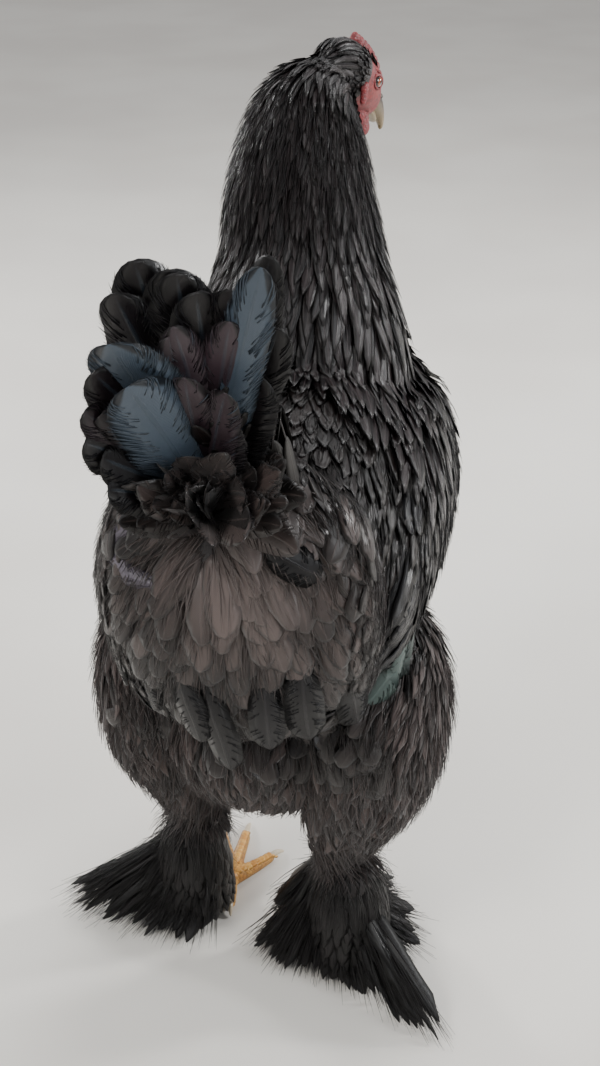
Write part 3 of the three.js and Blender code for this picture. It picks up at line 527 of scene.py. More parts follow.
def lie(p):
    x, y, z = p
    head = 1 - ramp(np.linalg.norm(p - HEAD_AT), 26, 44)
    neck = ramp(z, 400, 450) * (1 - ramp(y, -20, 30))
    rear = ramp(y, 92, 130)
    leg = 1 - ramp(z, 215, 250)
    way = mixed(BODY_LIE, NECK_LIE, neck)
    way = mixed(way, np.array([(x - BODY_X) * 0.008, 0.1, -1.0]), rear)
    way = mixed(way, LEG_LIE, leg)
    sideways = x - TAIL_FOOT[0]
    aside = math.hypot(sideways, y - TAIL_FOOT[1] + 12)
    if z > STUB_LOW and aside < STUB_REACH:
        return mixed(way, np.array([sideways * 0.012, 0.42, 1.0]), ramp(z, STUB_LOW, STUB_LOW + 20))
    if z > PARTING_LOW and aside < PARTING_REACH:
        way = way + LEFT * math.copysign(1.5 * (1 - aside / PARTING_REACH), sideways)
    return mixed(way, HEAD_UP * -0.25 - HEAD_FORWARD, head)


def trail(root, kind, length, rise, cling=0.75, swing=0.0, turn=0.0, start=None):
    """A feather's line over the skin: sunk at its root, and "rise" above the skin at its tip"""
    loc, out, _, _ = skin_tree.find_nearest(Vector(root))
    way = Vector(start if start is not None else lie(np.array(root)))
    way = (way - out * way.dot(out)).normalized()
    way = (way + out.cross(way) * turn).normalized()
    p = loc.copy()
    spine, outs = [], []
    before = 0.0
    for share, _ in KINDS[kind]:
        p = p + way * (length * (share - before))
        before = share
        near, away, _, _ = skin_tree.find_nearest(p)
        wanted = -ROOT_DEPTH + (rise + ROOT_DEPTH) * share ** 0.7
        height = (p - near).dot(away)
        p = p + away * (wanted - height) * (1.0 if height < wanted else cling)
        out = out.lerp(away, 0.12 + 0.6 * cling).normalized()
        pull = Vector(lie(np.array(p)))
        way = way.lerp(pull.normalized(), 0.25) + out.cross(way) * swing
        way = (way - out * way.dot(out)).normalized()
        spine.append(tuple(p))
        outs.append(tuple(out))
    return spine, outs


def as_arrays(lines):
    """The spines and the outward directions of several trails"""
    return (np.array(part) for part in zip(*lines))


def rolled(spine, out, tilt):
    """Outward directions turned a little about each feather's own line"""
    cross = unit(np.cross(out, unit(np.gradient(spine, axis=1))))
    return unit(out + cross * tilt)


def coat(name, kind, roots, length, width, rise, thick=0.5, camber=0.12, cling=0.75, loose=0.12, jag=0.12):
    """A tract of feathers on the skin. length, width and rise are one number or one for each root."""
    count = len(roots)
    length, width, rise = (np.broadcast_to(np.asarray(a, float), count) for a in (length, width, rise))
    long = length * luck.uniform(0.86, 1.1, count)
    turns = luck.normal(0, loose, count)
    swings = luck.normal(0, loose * 0.3, count)
    rises = rise * luck.uniform(0.75, 1.2, count)
    lines = [trail(roots[i], kind, long[i], rises[i], cling, swings[i], turns[i]) for i in range(count)]
    spine, out = as_arrays(lines)
    out = rolled(spine, out, luck.normal(0, 0.1, count)[:, None, None])
    wide = width * luck.uniform(0.88, 1.12, count)
    return lay(name, kind, spine, out, wide, thick, camber, jag, spot=unwrap(roots))


def unwrap(p):
    """Each root's place on the body laid flat: round its long axis, and along it"""
    axis = BODY_MIDDLE - 30 + np.clip(-p[:, 1] - 60, 0, 130) * 1.4
    turn = np.arctan2(p[:, 0] - BODY_X, p[:, 2] - axis) / (2 * np.pi)
    along = p[:, 1] * 0.8 - p[:, 2] * 0.6
    low, high = along.min(), along.max()
    return np.stack([0.5 + turn * 0.96, 0.02 + 0.96 * (along - low) / max(high - low, 1)], 1)


# Roots spread evenly over the skin
def skin_points(number):
    mesh = skin.data
    mesh.calc_loop_triangles()
    tri = np.zeros(len(mesh.loop_triangles) * 3, int)
    mesh.loop_triangles.foreach_get("vertices", tri)
    co = np.zeros(len(mesh.vertices) * 3)
    mesh.vertices.foreach_get("co", co)
    co = co.reshape(-1, 3) / MM - SHIFT
    a, b, c = (co[tri.reshape(-1, 3)[:, k]] for k in range(3))
    cross = np.cross(b - a, c - a)
    area = np.linalg.norm(cross, axis=1)
    pick = luck.choice(len(area), number, p=area / area.sum())
    r, q = np.sqrt(luck.random(number)), luck.random(number)
    points = a[pick] * (1 - r)[:, None] + b[pick] * (r * (1 - q))[:, None] + c[pick] * (r * q)[:, None]
    return points, unit(cross[pick])


def thinned(points, spacing):
    """Points at least their spacing apart, taken in turn"""
    cells, kept = {}, []
    size = float(np.max(spacing)) if len(points) else 1.0
    spacing = np.broadcast_to(spacing, len(points))
    keys = np.floor(points / size).astype(int)
    for i, (x, y, z) in enumerate(keys.tolist()):
        near = [
            j
            for dx in (-1, 0, 1)
            for dy in (-1, 0, 1)
            for dz in (-1, 0, 1)
            for j in cells.get((x + dx, y + dy, z + dz), ())
        ]
        if near and np.min(np.linalg.norm(points[near] - points[i], axis=1)) < spacing[i]:
            continue
        cells.setdefault((x, y, z), []).append(i)
        kept.append(i)
    return np.array(kept, int)


# Tracts of the coat, and where they meet
RUMP_FRONT, RUMP_LOW, RUMP_TOP = 84, 236, 428
CUSHION_LOW, HEM_HIGH, UNDERSIDE = 296, 300, -0.45
THIGH_TOP, THIGH_FRONT, THIGH_REAR, THIGH_INNER = 268, -70, 140, 30
THIGH_HEM = 160
BELLY_TOP = 232
NECK_LOW, NECK_BACK = 366, -18
HEAD_SKIN, NAPE_FROM, HEAD_CLEAR, NAPE_TO = 34, 22, 44, 52
STUB_BARE, STUB_BARE_LOW = 30, 408
BOOT_LOW, BOOT_INNER = 18, 12
SHANK_SKIN, TOE_SKIN = 11.5, 17


def face_share(p):
    """1 on the bare red face, 0 on feathered skin"""
    forward, left, up = in_head(p)
    left = np.abs(left)
    cheek = ramp(forward, -9, -3) * (1 - ramp(up, 12, 17)) * ramp(left, 4, 8) * ramp(up, -21, -15)
    front = ramp(forward, 12, 16)
    throat = ramp(forward, 4, 9) * (1 - ramp(up, -8, -4)) * ramp(up, -25, -19)
    comb_base = ramp(forward, -15, -9) * (1 - ramp(left, 8, 10)) * ramp(up, 0, 6)
    near = 1 - ramp(np.linalg.norm(p - HEAD_AT, axis=-1), 38, 44)
    return np.maximum.reduce([cheek, front, throat, comb_base]) * near


def shank_distance(p):
    """How far each place is from the nearer shank's axis, at its own height"""
    share = np.clip((HOCK_HEIGHT - p[:, 2]) / (HOCK_HEIGHT - ANKLE_HEIGHT), 0, 1)[:, None]
    axes = [mixed(hock_of(leg), ankle_of(leg), share) for leg in LEGS]
    return np.minimum(*[np.linalg.norm((p - axis)[:, :2], axis=1) for axis in axes])


skin_at = np.array([v.co for v in skin.data.vertices]) / MM - SHIFT
carry(skin, "bare", face_share(skin_at))
bare_leg = (shank_distance(skin_at) < SHANK_SKIN) | (skin_at[:, 2] < TOE_SKIN)
carry(skin, "scaled", bare_leg & (skin_at[:, 2] < HOCK_HEIGHT + 2))

points, normals = skin_points(SKIN_SAMPLES)
x, y, z = points.T
ahead, aside, above = in_head(points)
from_head = np.linalg.norm(points - HEAD_AT, axis=1)
bare = face_share(points)
by_comb = (ahead > -14) & (np.abs(aside) < 8) & (above > 0)
in_leg = z < HOCK_HEIGHT
on_boot = in_leg & (z > BOOT_LOW) & (shank_distance(points) > BOOT_INNER)
tail_foot = (np.hypot(x - TAIL_FOOT[0], y - TAIL_FOOT[1]) < STUB_BARE) & (z > STUB_BARE_LOW)
over_rump = (y > RUMP_FRONT) & (z > RUMP_LOW) & (z < RUMP_TOP) & ~tail_foot
on_head_skin = (from_head < HEAD_SKIN) & (bare < 0.75) & ~by_comb
neck_foot = np.maximum(395 - 0.2 * (y + 150), NECK_LOW)
on_neck = ~on_head_skin & (bare < 0.3) & ~by_comb & (z > neck_foot) & (y < NECK_BACK)
beside = (np.abs(x + 3) > THIGH_INNER) & (y > THIGH_FRONT) & (y < THIGH_REAR)
thigh_like = (z < THIGH_TOP) & beside & ~in_leg & ~over_rump
belly_like = (z < BELLY_TOP) & ~thigh_like & ~in_leg & ~over_rump
elsewhere = on_head_skin | on_neck | thigh_like | belly_like | over_rump | in_leg | tail_foot
on_body = ~elsewhere & (from_head >= HEAD_CLEAR)


def roots_in(mask, spacing, most=None):
    chosen = points[mask]
    gaps = spacing[mask] if np.ndim(spacing) else spacing
    chosen = chosen[thinned(chosen, gaps)]
    return chosen if most is None else chosen[:most]


coats = []


def tract(name, kind, mask, spacing, look, slot, *sizes, most=None, **how):
    coats.append((coat(name, kind, roots_in(mask, spacing, most), *sizes, **how), look, slot))


# Each tract: where, how far apart, look and slot, then length, width and lift
tract("head_feathers", "short", on_head_skin, 2.3, "satin", "plumage", 9.5, 3.8, 1.7, thick=0.25, loose=0.1)
nape = (from_head > NAPE_FROM) & (from_head < NAPE_TO) & (ahead < -13) & (above > -16)
FINE = {"thick": 0.25, "cling": 0.3, "loose": 0.08, "jag": 0.05}
tract("nape_feathers", "hackle", nape, 2.9, "hackle", "plumage", 33, 5.2, 4.6, **FINE)
roots = roots_in(on_neck, 4.6 + 2.6 * ramp(430 - z, -120, 60))
grow = ramp(HEAD_AT[2] - roots[:, 2], 0, 150)
sizes = 24 + 44 * grow, 6.5 + 5 * grow, 2.6 + 7.5 * grow
coats.append((coat("hackle", "hackle", roots, *sizes, thick=0.3, cling=0.5, jag=0.06), "hackle", "plumage"))
tract("body_feathers", "hackle", on_body, 7.2, "satin", "plumage", 50, 14.5, 5.5, thick=0.35)
SOFT = {"thick": 0.3, "jag": 0.3}
upper = over_rump & (z > CUSHION_LOW)
hem = over_rump & (z <= HEM_HIGH) & (normals[:, 2] > UNDERSIDE)
high_thigh, low_thigh = thigh_like & (z >= THIGH_HEM), thigh_like & (z < THIGH_HEM)
tract(
    "cushion_feathers", "broad", upper, 7.8, "cushion", "plumage", 52, 20, 8.0, cling=0.6, loose=0.22, **SOFT
)
tract("cushion_hem", "broad", hem, 7.0, "cushion", "plumage", 46, 18, 6.5, cling=0.3, loose=0.36, **SOFT)
tract("thigh_fluff", "ragged", high_thigh, 5.6, "down", "down", 42, 11, 7.0, cling=0.45, loose=0.24, **SOFT)
roots = roots_in(low_thigh, 4.8)
hanging = np.clip((roots[:, 2] - 48) * 0.85, 22, 54)
coats.append((coat("thigh_hem", "ragged", roots, hanging, 10, 5.5, cling=0.22, **SOFT), "down", "down"))
LOOSE = {"thick": 0.3, "cling": 0.45, "loose": 0.25, "jag": 0.4}
tract("belly_fluff", "ragged", belly_like, 6.2, "down", "down", 34, 12, 6.5, **LOOSE)

# Fine barbs over the vanes, which soften their edges
HAIR = {"thick": 0.4, "camber": 0.0, "cling": 0.5, "jag": 0.0}
rear = over_rump & (normals[:, 2] > UNDERSIDE)
thigh_side = thigh_like & (z >= THIGH_HEM - 5)
boot_top = on_boot | (~in_leg & (z < 108))
tract("neck_barbs", "hair", on_neck, 2.5, "hackle", "plumage", 30, 0.75, 5.5, most=6500, loose=0.12, **HAIR)
tract("body_barbs", "hair", on_body, 3.4, "satin", "plumage", 32, 0.8, 6.5, most=6000, loose=0.16, **HAIR)
tract("cushion_barbs", "hair", rear, 2.4, "cushion", "plumage", 36, 0.8, 9.5, most=8500, loose=0.22, **HAIR)
tract("thigh_barbs", "hair", thigh_side, 2.9, "down", "down", 38, 0.85, 9.5, most=7500, loose=0.3, **HAIR)
roots = roots_in(low_thigh, 2.4, 3600)
hanging = np.clip((roots[:, 2] - 50) * 0.9, 22, 54)
hem_barbs = coat("thigh_hem_barbs", "hair", roots, hanging, 0.85, 8, loose=0.16, **{**HAIR, "cling": 0.03})
coats.append((hem_barbs, "down", "down"))
tract("boot_barbs", "hair", boot_top, 2.2, "boots", "down", 36, 0.8, 8.5, most=4200, loose=0.22, **HAIR)
tract("belly_barbs", "hair", belly_like, 3.6, "down", "down", 34, 0.85, 9.0, most=4000, loose=0.3, **HAIR)

# Wings: small coverts at the shoulder, longer ones behind, then the folded flight feathers
WING_ROWS = (
    {"u": 0.02, "v": (-0.8, 0.7), "count": 11, "length": 34, "width": 14, "rise": 4},
    {"u": 0.09, "v": (-0.9, 0.8), "count": 12, "length": 36, "width": 14, "rise": 4},
    {"u": 0.16, "v": (-0.9, 0.85), "count": 12, "length": 38, "width": 15, "rise": 4.4},
    {"u": 0.24, "v": (-0.9, 0.85), "count": 12, "length": 42, "width": 15, "rise": 4.8},
    {"u": 0.33, "v": (-0.9, 0.9), "count": 12, "length": 50, "width": 16, "rise": 5.2},
    {"u": 0.43, "v": (-0.9, 0.9), "count": 13, "length": 66, "width": 17, "rise": 5.6},
    {"u": 0.54, "v": (-0.85, 0.95), "count": 14, "length": 92, "width": 17, "rise": 6.2},
    {"u": 0.66, "v": (-0.2, 1.0), "count": 10, "length": 100, "width": 15, "rise": 7},
)


def wing(pad, name):
    lines, wide = [], []
    for row in WING_ROWS:
        u = row["u"]
        for v in np.linspace(*row["v"], row["count"]):
            root = pad.at(u + luck.normal(0, 0.006), v, pad.swell(u, v))
            onward = pad.at(u + 0.1, v + 0.05, pad.swell(u + 0.1, v)) - root
            long = row["length"] * luck.uniform(0.93, 1.07)
            rise, turn = row["rise"] * luck.uniform(0.8, 1.1), luck.normal(0, 0.05)
            lines.append(trail(root, "flight", long, rise, 0.55, 0.0, turn, onward))
            wide.append(row["width"] * luck.uniform(0.94, 1.06))
    spine, out = as_arrays(lines)
    return lay(
        name, "flight", spine, rolled(spine, out, -0.1 * pad.s), wide, 0.9, 0.1, 0.05, None,
        *strips(len(lines), 9)
    )


for pad, leg in zip(PADS, LEGS):
    coats.append((wing(pad, "wing_feathers_" + leg["name"]), "flight", "flight_feathers"))


# Free feathers: tail, and the long ones of the legs
def free_lines(kind, roots, ways, faces, lengths, bends, sides):
    """Feathers clear of the skin, each drooping back and swaying aside by shares of its length"""
    s = rings_of(kind)[None, :, None]
    ways = unit(np.array(ways, float))
    faces = np.array(faces, float)
    out = unit(faces - ways * np.sum(faces * ways, axis=1, keepdims=True))
    cross = np.cross(out, ways)
    long = np.array(lengths, float)[:, None, None]
    roots = np.array(roots, float)[:, None, :]
    bends, sides = (np.array(a, float)[:, None, None] for a in (bends, sides))
    straight = ways[:, None] * long * s
    droop = out[:, None] * bends * long * s * s
    sway = cross[:, None] * sides * long * s * s
    spine = roots + straight - droop + sway
    return spine, np.broadcast_to(out[:, None], spine.shape)


# Each tail feather: azimuth to the left, elevation, length, width, how far behind, tone; its tone sets how
# much painted blue-grey reflection its face shows
TAIL_ROOT = np.array([5.0, 118.0, 408.0])
ROOT_OUT = 8
TAIL = (
    (15, 65, 163, 42, 0, 0.1), (6, 66, 158, 40, 2, 0.05), (-6, 64, 157, 38, 3, 0.15),
    (-16, 64, 148, 36, 4, 0.2), (19, 61, 150, 38, 3, 0.2), (18, 55, 140, 47, 9, 0.8),
    (22, 51, 128, 34, 5, 0.25), (26, 43, 118, 26, 7, 0.35), (8, 57, 116, 42, 22, 1.0),
    (26, 39, 104, 30, 10, 0.05), (27, 33, 92, 28, 12, 0.0), (25, 27, 82, 26, 14, 0.05),
    (-38, 66, 168, 26, 19, 0.95), (-42, 66, 162, 26, 1, 0.1), (-44, 63, 150, 26, 2, 0.05),
    (-30, 64, 150, 32, 4, 0.2), (-47, 59, 104, 34, 13, 0.05), (-47, 61, 128, 28, 4, 0.0),
    (-20, 64, 136, 26, 10, 0.5), (-12, 63, 134, 26, 11, 0.5), (-26, 62, 124, 24, 12, 0.46),
    (0, 62, 130, 28, 9, 0.44), (20, 49, 106, 30, 14, 0.25), (-5, 58, 110, 26, 14, 0.5),
    (-18, 57, 104, 24, 15, 0.48), (-30, 54, 84, 26, 14, 0.25),
)
TAIL_FACING = np.array([-0.12, 0.82, 0.55])
azimuths, elevations, long, widths, behind, tones = np.array(TAIL, float).T
ways = [aim(azimuth, elevation) for azimuth, elevation in zip(azimuths, elevations)]
roots = [TAIL_ROOT + way * ROOT_OUT + BACK * back for way, back in zip(ways, behind)]
faces = [TAIL_FACING + LEFT * luck.normal(0, 0.12) for _ in TAIL]
bends = luck.uniform(0.02, 0.1, len(TAIL))
sides = luck.normal(0, 0.05, len(TAIL))
spine, out = free_lines("flight", roots, ways, faces, long - ROOT_OUT, bends, sides)
tail = lay("tail_feathers", "flight", spine, out, widths, 0.9, 0.2, 0.08, tones, *strips(len(TAIL), 9))
coats.append((tail, "tail", "flight_feathers"))


def edge_barbs(name, kind, spine, out, width, camber, each, tones, reach=1.05):
    """Fine barbs from the shaft's side out to the rim of every big vane, a little beyond it"""
    shape = np.array(KINDS[kind])
    s = rings_of("hair")
    spines, outs, tone = [], [], []
    for k in range(len(spine)):
        way = unit(np.gradient(spine[k], axis=0))
        cross = unit(np.cross(out[k], way))
        rise = unit(np.cross(way, cross))
        for _ in range(each):
            first = luck.uniform(0.06, 0.9)
            side = luck.choice((-1, 1))
            share = np.minimum(first + luck.uniform(0.07, 0.13) * s, 1.0)
            over = mixed(luck.uniform(0.25, 0.6), reach + luck.normal(0, 0.03), s)
            half = width[k] / 2 * np.interp(share, *shape.T)
            middle, away, up = (
                np.stack([np.interp(share, shape[:, 0], a[:, c]) for c in range(3)], 1)
                for a in (spine[k], cross, rise)
            )
            lift = 0.25 * luck.choice((-2.4, 1, 1)) - camber * half * over * over
            spines.append(middle + away * (side * over * half)[:, None] + up * lift[:, None])
            outs.append(up)
            tone.append(tones[k] + luck.normal(0, 0.08))
    return lay(name, "hair", np.array(spines), np.array(outs), 0.7, 0.4, 0.0, tone=np.array(tone))


barbs = edge_barbs("tail_barbs", "flight", spine, out, widths, 0.2, 190, tones)
coats.append((barbs, "tail", "flight_feathers"))

# Coverts up the stub of the tail, on all its sides
tail_stub = (np.hypot(x - TAIL_FOOT[0], y - TAIL_FOOT[1] - 6) < 46) & (z > 404) & (z < 446)
roots = roots_in(tail_stub, 5.2)
faces = normals_under(roots)
count = len(roots)
ways = unit(np.array([0.06, 0.5, 1.0]) + faces * 0.24 + luck.normal(0, 0.07, (count, 3)))
long = luck.uniform(40, 66, count)
line, face = free_lines(
    "plume", roots - faces, ways, faces, long, np.full(count, 0.05), luck.normal(0, 0.08, count)
)
wide = luck.uniform(12, 17, count)
stub_coverts = lay("stub_coverts", "plume", line, face, wide, 0.4, 0.2, 0.15, spot=unwrap(roots))
coats.append((stub_coverts, "satin", "flight_feathers"))

# Narrow soft coverts round the foot of the tail
count = 76
ways = [aim(luck.uniform(-66, 42), luck.uniform(16, 54)) for _ in range(count)]
roots = [
    TAIL_ROOT + way * luck.uniform(4, 14) + BACK * luck.uniform(6, 22) - UP * luck.uniform(0, 12)
    for way in ways
]
faces = [TAIL_FACING + LEFT * luck.normal(0, 0.2) for _ in ways]
long = luck.uniform(36, 66, count)
bends = luck.uniform(-0.08, 0.12, count)
line, face = free_lines("plume", roots, ways, faces, long, bends, luck.normal(0, 0.12, count))
wide = luck.uniform(17, 25, count)
coverts = lay("tail_coverts", "plume", line, face, wide, 0.5, 0.2, 0.15, None, *strips(count, 16))
coats.append((coverts, "cushion", "flight_feathers"))
barbs = edge_barbs("covert_barbs", "plume", line, face, wide, 0.2, 34, luck.uniform(0, 1, count), 1.15)
coats.append((barbs, "cushion", "flight_feathers"))

# Single feathers that stand out over the cushion:
# their line on the skin from root to tip, width, lift and tone
DARK_TIPS = (
    (((-65, 131, 366), (-47, 138, 376), (-29, 139, 387)), 22, 11, 0.2),
    (((10, 150, 310), (-2, 150, 275), (-8, 146, 243)), 22, 10, 0.1),
    (((28, 146, 318), (14, 150, 285), (8, 148, 260)), 22, 9, 0.3),
    (((-49, 148, 325), (-50, 146, 293), (-52, 142, 268)), 24, 9, 0.1),
    (((-28, 150, 318), (-30, 150, 285), (-31, 147, 260)), 22, 8, 0.4),
    (((50, 130, 320), (45, 134, 288), (40, 132, 264)), 23, 8, 0.2),
    (((-70, 128, 312), (-72, 124, 284), (-73, 118, 264)), 23, 8, 0.2),
    (((70, 118, 322), (68, 118, 292), (62, 118, 268)), 22, 8, 0.1),
)
# A curled feather drawn pale, as a painted highlight along its edge
CURL_HIGHLIGHT = (
    (((12, 149, 367), (32, 147, 359), (52, 139, 360), (62, 128, 371), (46, 132, 389)), 14, 7.5, 0.6),
)
# Two right wing tips drawn grey-green, as painted sheen on black feathers
WING_TIPS = (
    (((-96, 74, 312), (-90, 84, 278), (-74, 98, 252)), 20, 9, 0.8),
    (((-98, 60, 308), (-94, 68, 276), (-82, 84, 256)), 18, 8, 0.4),
)


def special(name, rows):
    """The single feathers of one list, and their edge barbs"""
    s = rings_of("flight")
    spines, outs = [], []
    for line, _, lift, _ in rows:
        places = Form([(*p, 1, 1) for p in line]).centre(s)
        faces = normals_under(places)
        faces = unit(faces + faces.mean(axis=0))
        spines.append(places + faces * (lift * np.minimum(s * 3, 1) - 1)[:, None])
        outs.append(faces)
    wide, tone = (np.array([row[k] for row in rows], float) for k in (1, 3))
    spot, patch = strips(len(rows), 4)
    vanes = lay(name, "flight", np.array(spines), np.array(outs), wide, 0.6, 0.25, 0.05, tone, spot, patch)
    return vanes, edge_barbs(name + "_barbs", "flight", spines, outs, wide, 0.25, 70, tone)


SINGLES = (
    ("dark_tips", DARK_TIPS, "flight", "plumage"),
    ("pale_curl", CURL_HIGHLIGHT, "curl", "plumage"),
    ("wing_tips", WING_TIPS, "green_sheen", "flight_feathers"),
)
for name, rows, look, slot in SINGLES:
    coats += [(piece, look, slot) for piece in special(name, rows)]


# Leg feathers: drooping sprays from the boot. Each spray has the line that its tips reach, on or near
# the floor, then its number of feathers, their width, and the heights of their roots.
SPRAYS = {
    "left": (
        (((148, 59, 24), (144, 63, 10), (118, 67, 6)), 22, 14, (50, 74)),
        (((118, 67, 5), (80, 72, 4), (43, 71, 3)), 22, 15, (30, 60)),
        (((102, 18, 30), (106, 38, 34), (98, 56, 26), (64, 68, 20), (36, 60, 18)), 40, 16, (52, 88)),
        (((92, -8, 10), (108, 12, 8), (112, 40, 8), (96, 58, 6)), 26, 15, (20, 46)),
    ),
    "right": (
        (((-94, 97, 4), (-116, 110, 4), (-146, 122, 4)), 22, 14, (44, 70)),
        (((8, 62, 5), (-10, 76, 4), (-30, 82, 3), (-60, 88, 3), (-88, 92, 4)), 44, 16, (36, 70)),
        (
            ((-2, 40, 30), (-20, 66, 24), (-50, 78, 22), (-82, 66, 24), (-92, 36, 30), (-86, 4, 34)),
            46, 16, (52, 88),
        ),
        (((-84, -10, 12), (-108, 24, 12), (-112, 48, 10), (-96, 74, 6)), 28, 15, (20, 46)),
    ),
}


def along_line(line, share):
    line = np.array(line, float)
    x = share * (len(line) - 1)
    i = min(int(x), len(line) - 2)
    return mixed(line[i], line[i + 1], x - i)


def drooping(leg, kind, line, count, heights, scatter):
    """Curves from the boot out and down to the tips' line"""
    s = rings_of(kind)[:, None]
    spines, outs = [], []
    for k in range(count):
        tip = along_line(line, (k + luck.random()) / count) + luck.normal(0, scatter, 3) * (1, 1, 0.5)
        tip[2] = max(tip[2], 1.5)
        height = luck.uniform(*heights)
        axis = mixed(hock_of(leg), ankle_of(leg), (HOCK_HEIGHT - height) / (HOCK_HEIGHT - ANKLE_HEIGHT))
        flat = unit((tip - axis) * (1, 1, 0))
        root = axis + flat * (6 + 8 * luck.random())
        reach = luck.uniform(0.8, 1.04)
        tip = mixed(root, tip, reach)
        middle = mixed(root, tip, 0.5) + UP * luck.uniform(0.02, 0.16) * np.linalg.norm(tip - root)
        curve = bow(root, middle, tip, s)
        face = unit(UP * 0.6 + flat * 0.5 + np.cross(UP, flat) * luck.normal(0, 0.25))
        spines.append(curve)
        outs.append(np.broadcast_to(face, curve.shape))
    return spines, outs


def leg_coat(name, kind, share, widths, thick, scatter):
    spines, outs, wide = [], [], []
    for leg in LEGS:
        for line, count, width, heights in SPRAYS[leg["name"]]:
            some, faces = drooping(leg, kind, line, int(count * share), heights, scatter)
            spines += some
            outs += faces
            wide += [width * w for w in luck.uniform(*widths, len(some))]
    places = strips(len(spines), 16) if kind != "hair" else ()
    return lay(name, kind, np.array(spines), np.array(outs), wide, thick, 0.2, 0.35, None, *places)


coats.append((leg_coat("leg_feathers", "plume", 1.0, (0.75, 1.15), 0.6, 3), "boots", "down"))
coats.append((leg_coat("leg_barbs", "hair", 16.0, (0.05, 0.07), 0.45, 6), "boots", "down"))

# Short feathers that hang over the boots
roots = roots_in(on_boot | (~in_leg & (z < 102)), 6.0 - 2.4 * ramp(z, 60, 78))
faces = normals_under(roots)
tips = roots + unit(faces * (1, 1, 0.2)) * 9 - UP * 34
tips[:, 2] = np.maximum(tips[:, 2], 2 + 6 * luck.random(len(tips)))
middles = mixed(roots, tips, 0.5) + unit(faces) * 4.5
starts = roots - faces * 1.5
spine = bow(starts[:, None], middles[:, None], tips[:, None], rings_of("plume")[None, :, None])
out = np.broadcast_to(unit(faces + UP * 0.2)[:, None], spine.shape)
wide = luck.uniform(9, 14, len(roots))
boots = lay("boot_feathers", "plume", spine, out, wide, 0.4, 0.2, 0.3, spot=unwrap(roots))
coats.append((boots, "boots", "down"))


# Head details, in the head's own directions
def ball_on_head(bm, place, radius, stretch=(1, 1, 1), around=20, along=14):
    verts = bmesh.ops.create_uvsphere(bm, u_segments=around, v_segments=along, radius=radius)["verts"]
    basis = np.stack([HEAD_FORWARD, HEAD_LEFT, HEAD_UP])
    moved(verts, lambda p: on_head(*place) + (p * stretch) @ basis)


def fused(name, bm, voxel, smoothing=3):
    piece = melted(smooth_object(bm, name), voxel, smoothing)
    piece.data.shade_smooth()
    return piece


def crown_height(forward):
    hit = skin_tree.ray_cast(Vector(on_head(forward, 0, 60)), Vector(-HEAD_UP))[0]
    return float(in_head(np.array(hit))[2])


# Pea comb: its rows by their place to the left, number of knobs, their radius and their height
COMB_ROWS = ((0, 10, 3.9, 5.4), (5.6, 8, 2.9, 2.2), (-5.6, 8, 2.9, 2.2))
bm = bmesh.new()
for left, number, radius, height in COMB_ROWS:
    for k, forward in enumerate(np.linspace(27, -13, number)):
        size = (0.78 + 0.34 * math.sin(math.pi * (k + 0.5) / number)) * luck.uniform(0.92, 1.08)
        up = crown_height(min(forward, 24)) - abs(left) * 0.3 + height * size * 0.55
        spread = left + luck.normal(0, 0.25)
        ball_on_head(bm, (forward, spread, up), radius * size, (1.1, 0.85, 1.25))
        ball_on_head(bm, (forward, spread * 0.7, up - 2.6), radius * size, (1.1, 1, 1.1))
comb = fused("pea_comb", bm, 0.5)

# Eyelids: an upper and a lower rim of beads round each eye, and a brow over it
HEAD_WIDTH = 37
EYE_DEEP = 3.4
LID_BEADS, BROW_BEADS = 13, 9
eye_places = [(5, s * (HEAD_WIDTH / 2 - EYE_DEEP), 3) for s in (1, -1)]
bm = bmesh.new()
for s, place in zip((1, -1), eye_places):
    forward, left, up = place
    for upper in (1, -1):
        reach, opening, bead = EYE_RADIUS + 0.35, (0.82 if upper > 0 else 0.9), (1.15 if upper > 0 else 0.95)
        for k in range(LID_BEADS):
            a = math.radians(8 + 164 * k / (LID_BEADS - 1)) * upper
            out_by = left + s * (1.7 + 0.9 * math.sin(abs(a)))
            at = (forward + math.cos(a) * reach * 1.12, out_by, up + math.sin(a) * reach * opening)
            ball_on_head(bm, at, bead, (1.1, 1, 0.9), 10, 8)
    for k in range(BROW_BEADS):
        f = -6 + 2.6 * k
        at = (f + 1, s * (14.8 - 0.035 * (f - 4) ** 2), 9.6 - 0.03 * (f - 3) ** 2)
        ball_on_head(bm, at, 2.3, (1.4, 0.9, 0.7), 12, 8)
lids = fused("eyelids", bm, 0.42, 2)

# Wattles, ear lobes and the fold between them
bm = bmesh.new()
for s in (1, -1):
    for k in range(4):
        ball_on_head(bm, (15 + 3.4 * k, s * (6.0 + 0.45 * k), -13.4 - 2.9 * k), 6.2 - 0.5 * k, (1, 0.4, 1.1))
    for k in range(3):
        ball_on_head(bm, (-8.4 + 1.3 * k, s * 17.6, -8.2 - 3.1 * k), 4.3 - 0.35 * k, (0.85, 0.55, 1.1))
    for k in range(6):
        ball_on_head(bm, (8 + 2.2 * k, s * (11.5 - 0.6 * k), -8.4 - 0.7 * k), 2.2, (1.5, 0.6, 0.8), 12, 8)
folds = fused("wattles_and_lobes", bm, 0.55)

bm = bmesh.new()
for place in eye_places:
    ball_on_head(bm, place, EYE_RADIUS, (1, 1, 1), 32, 24)
eyes = smooth_object(bm, "eyes")

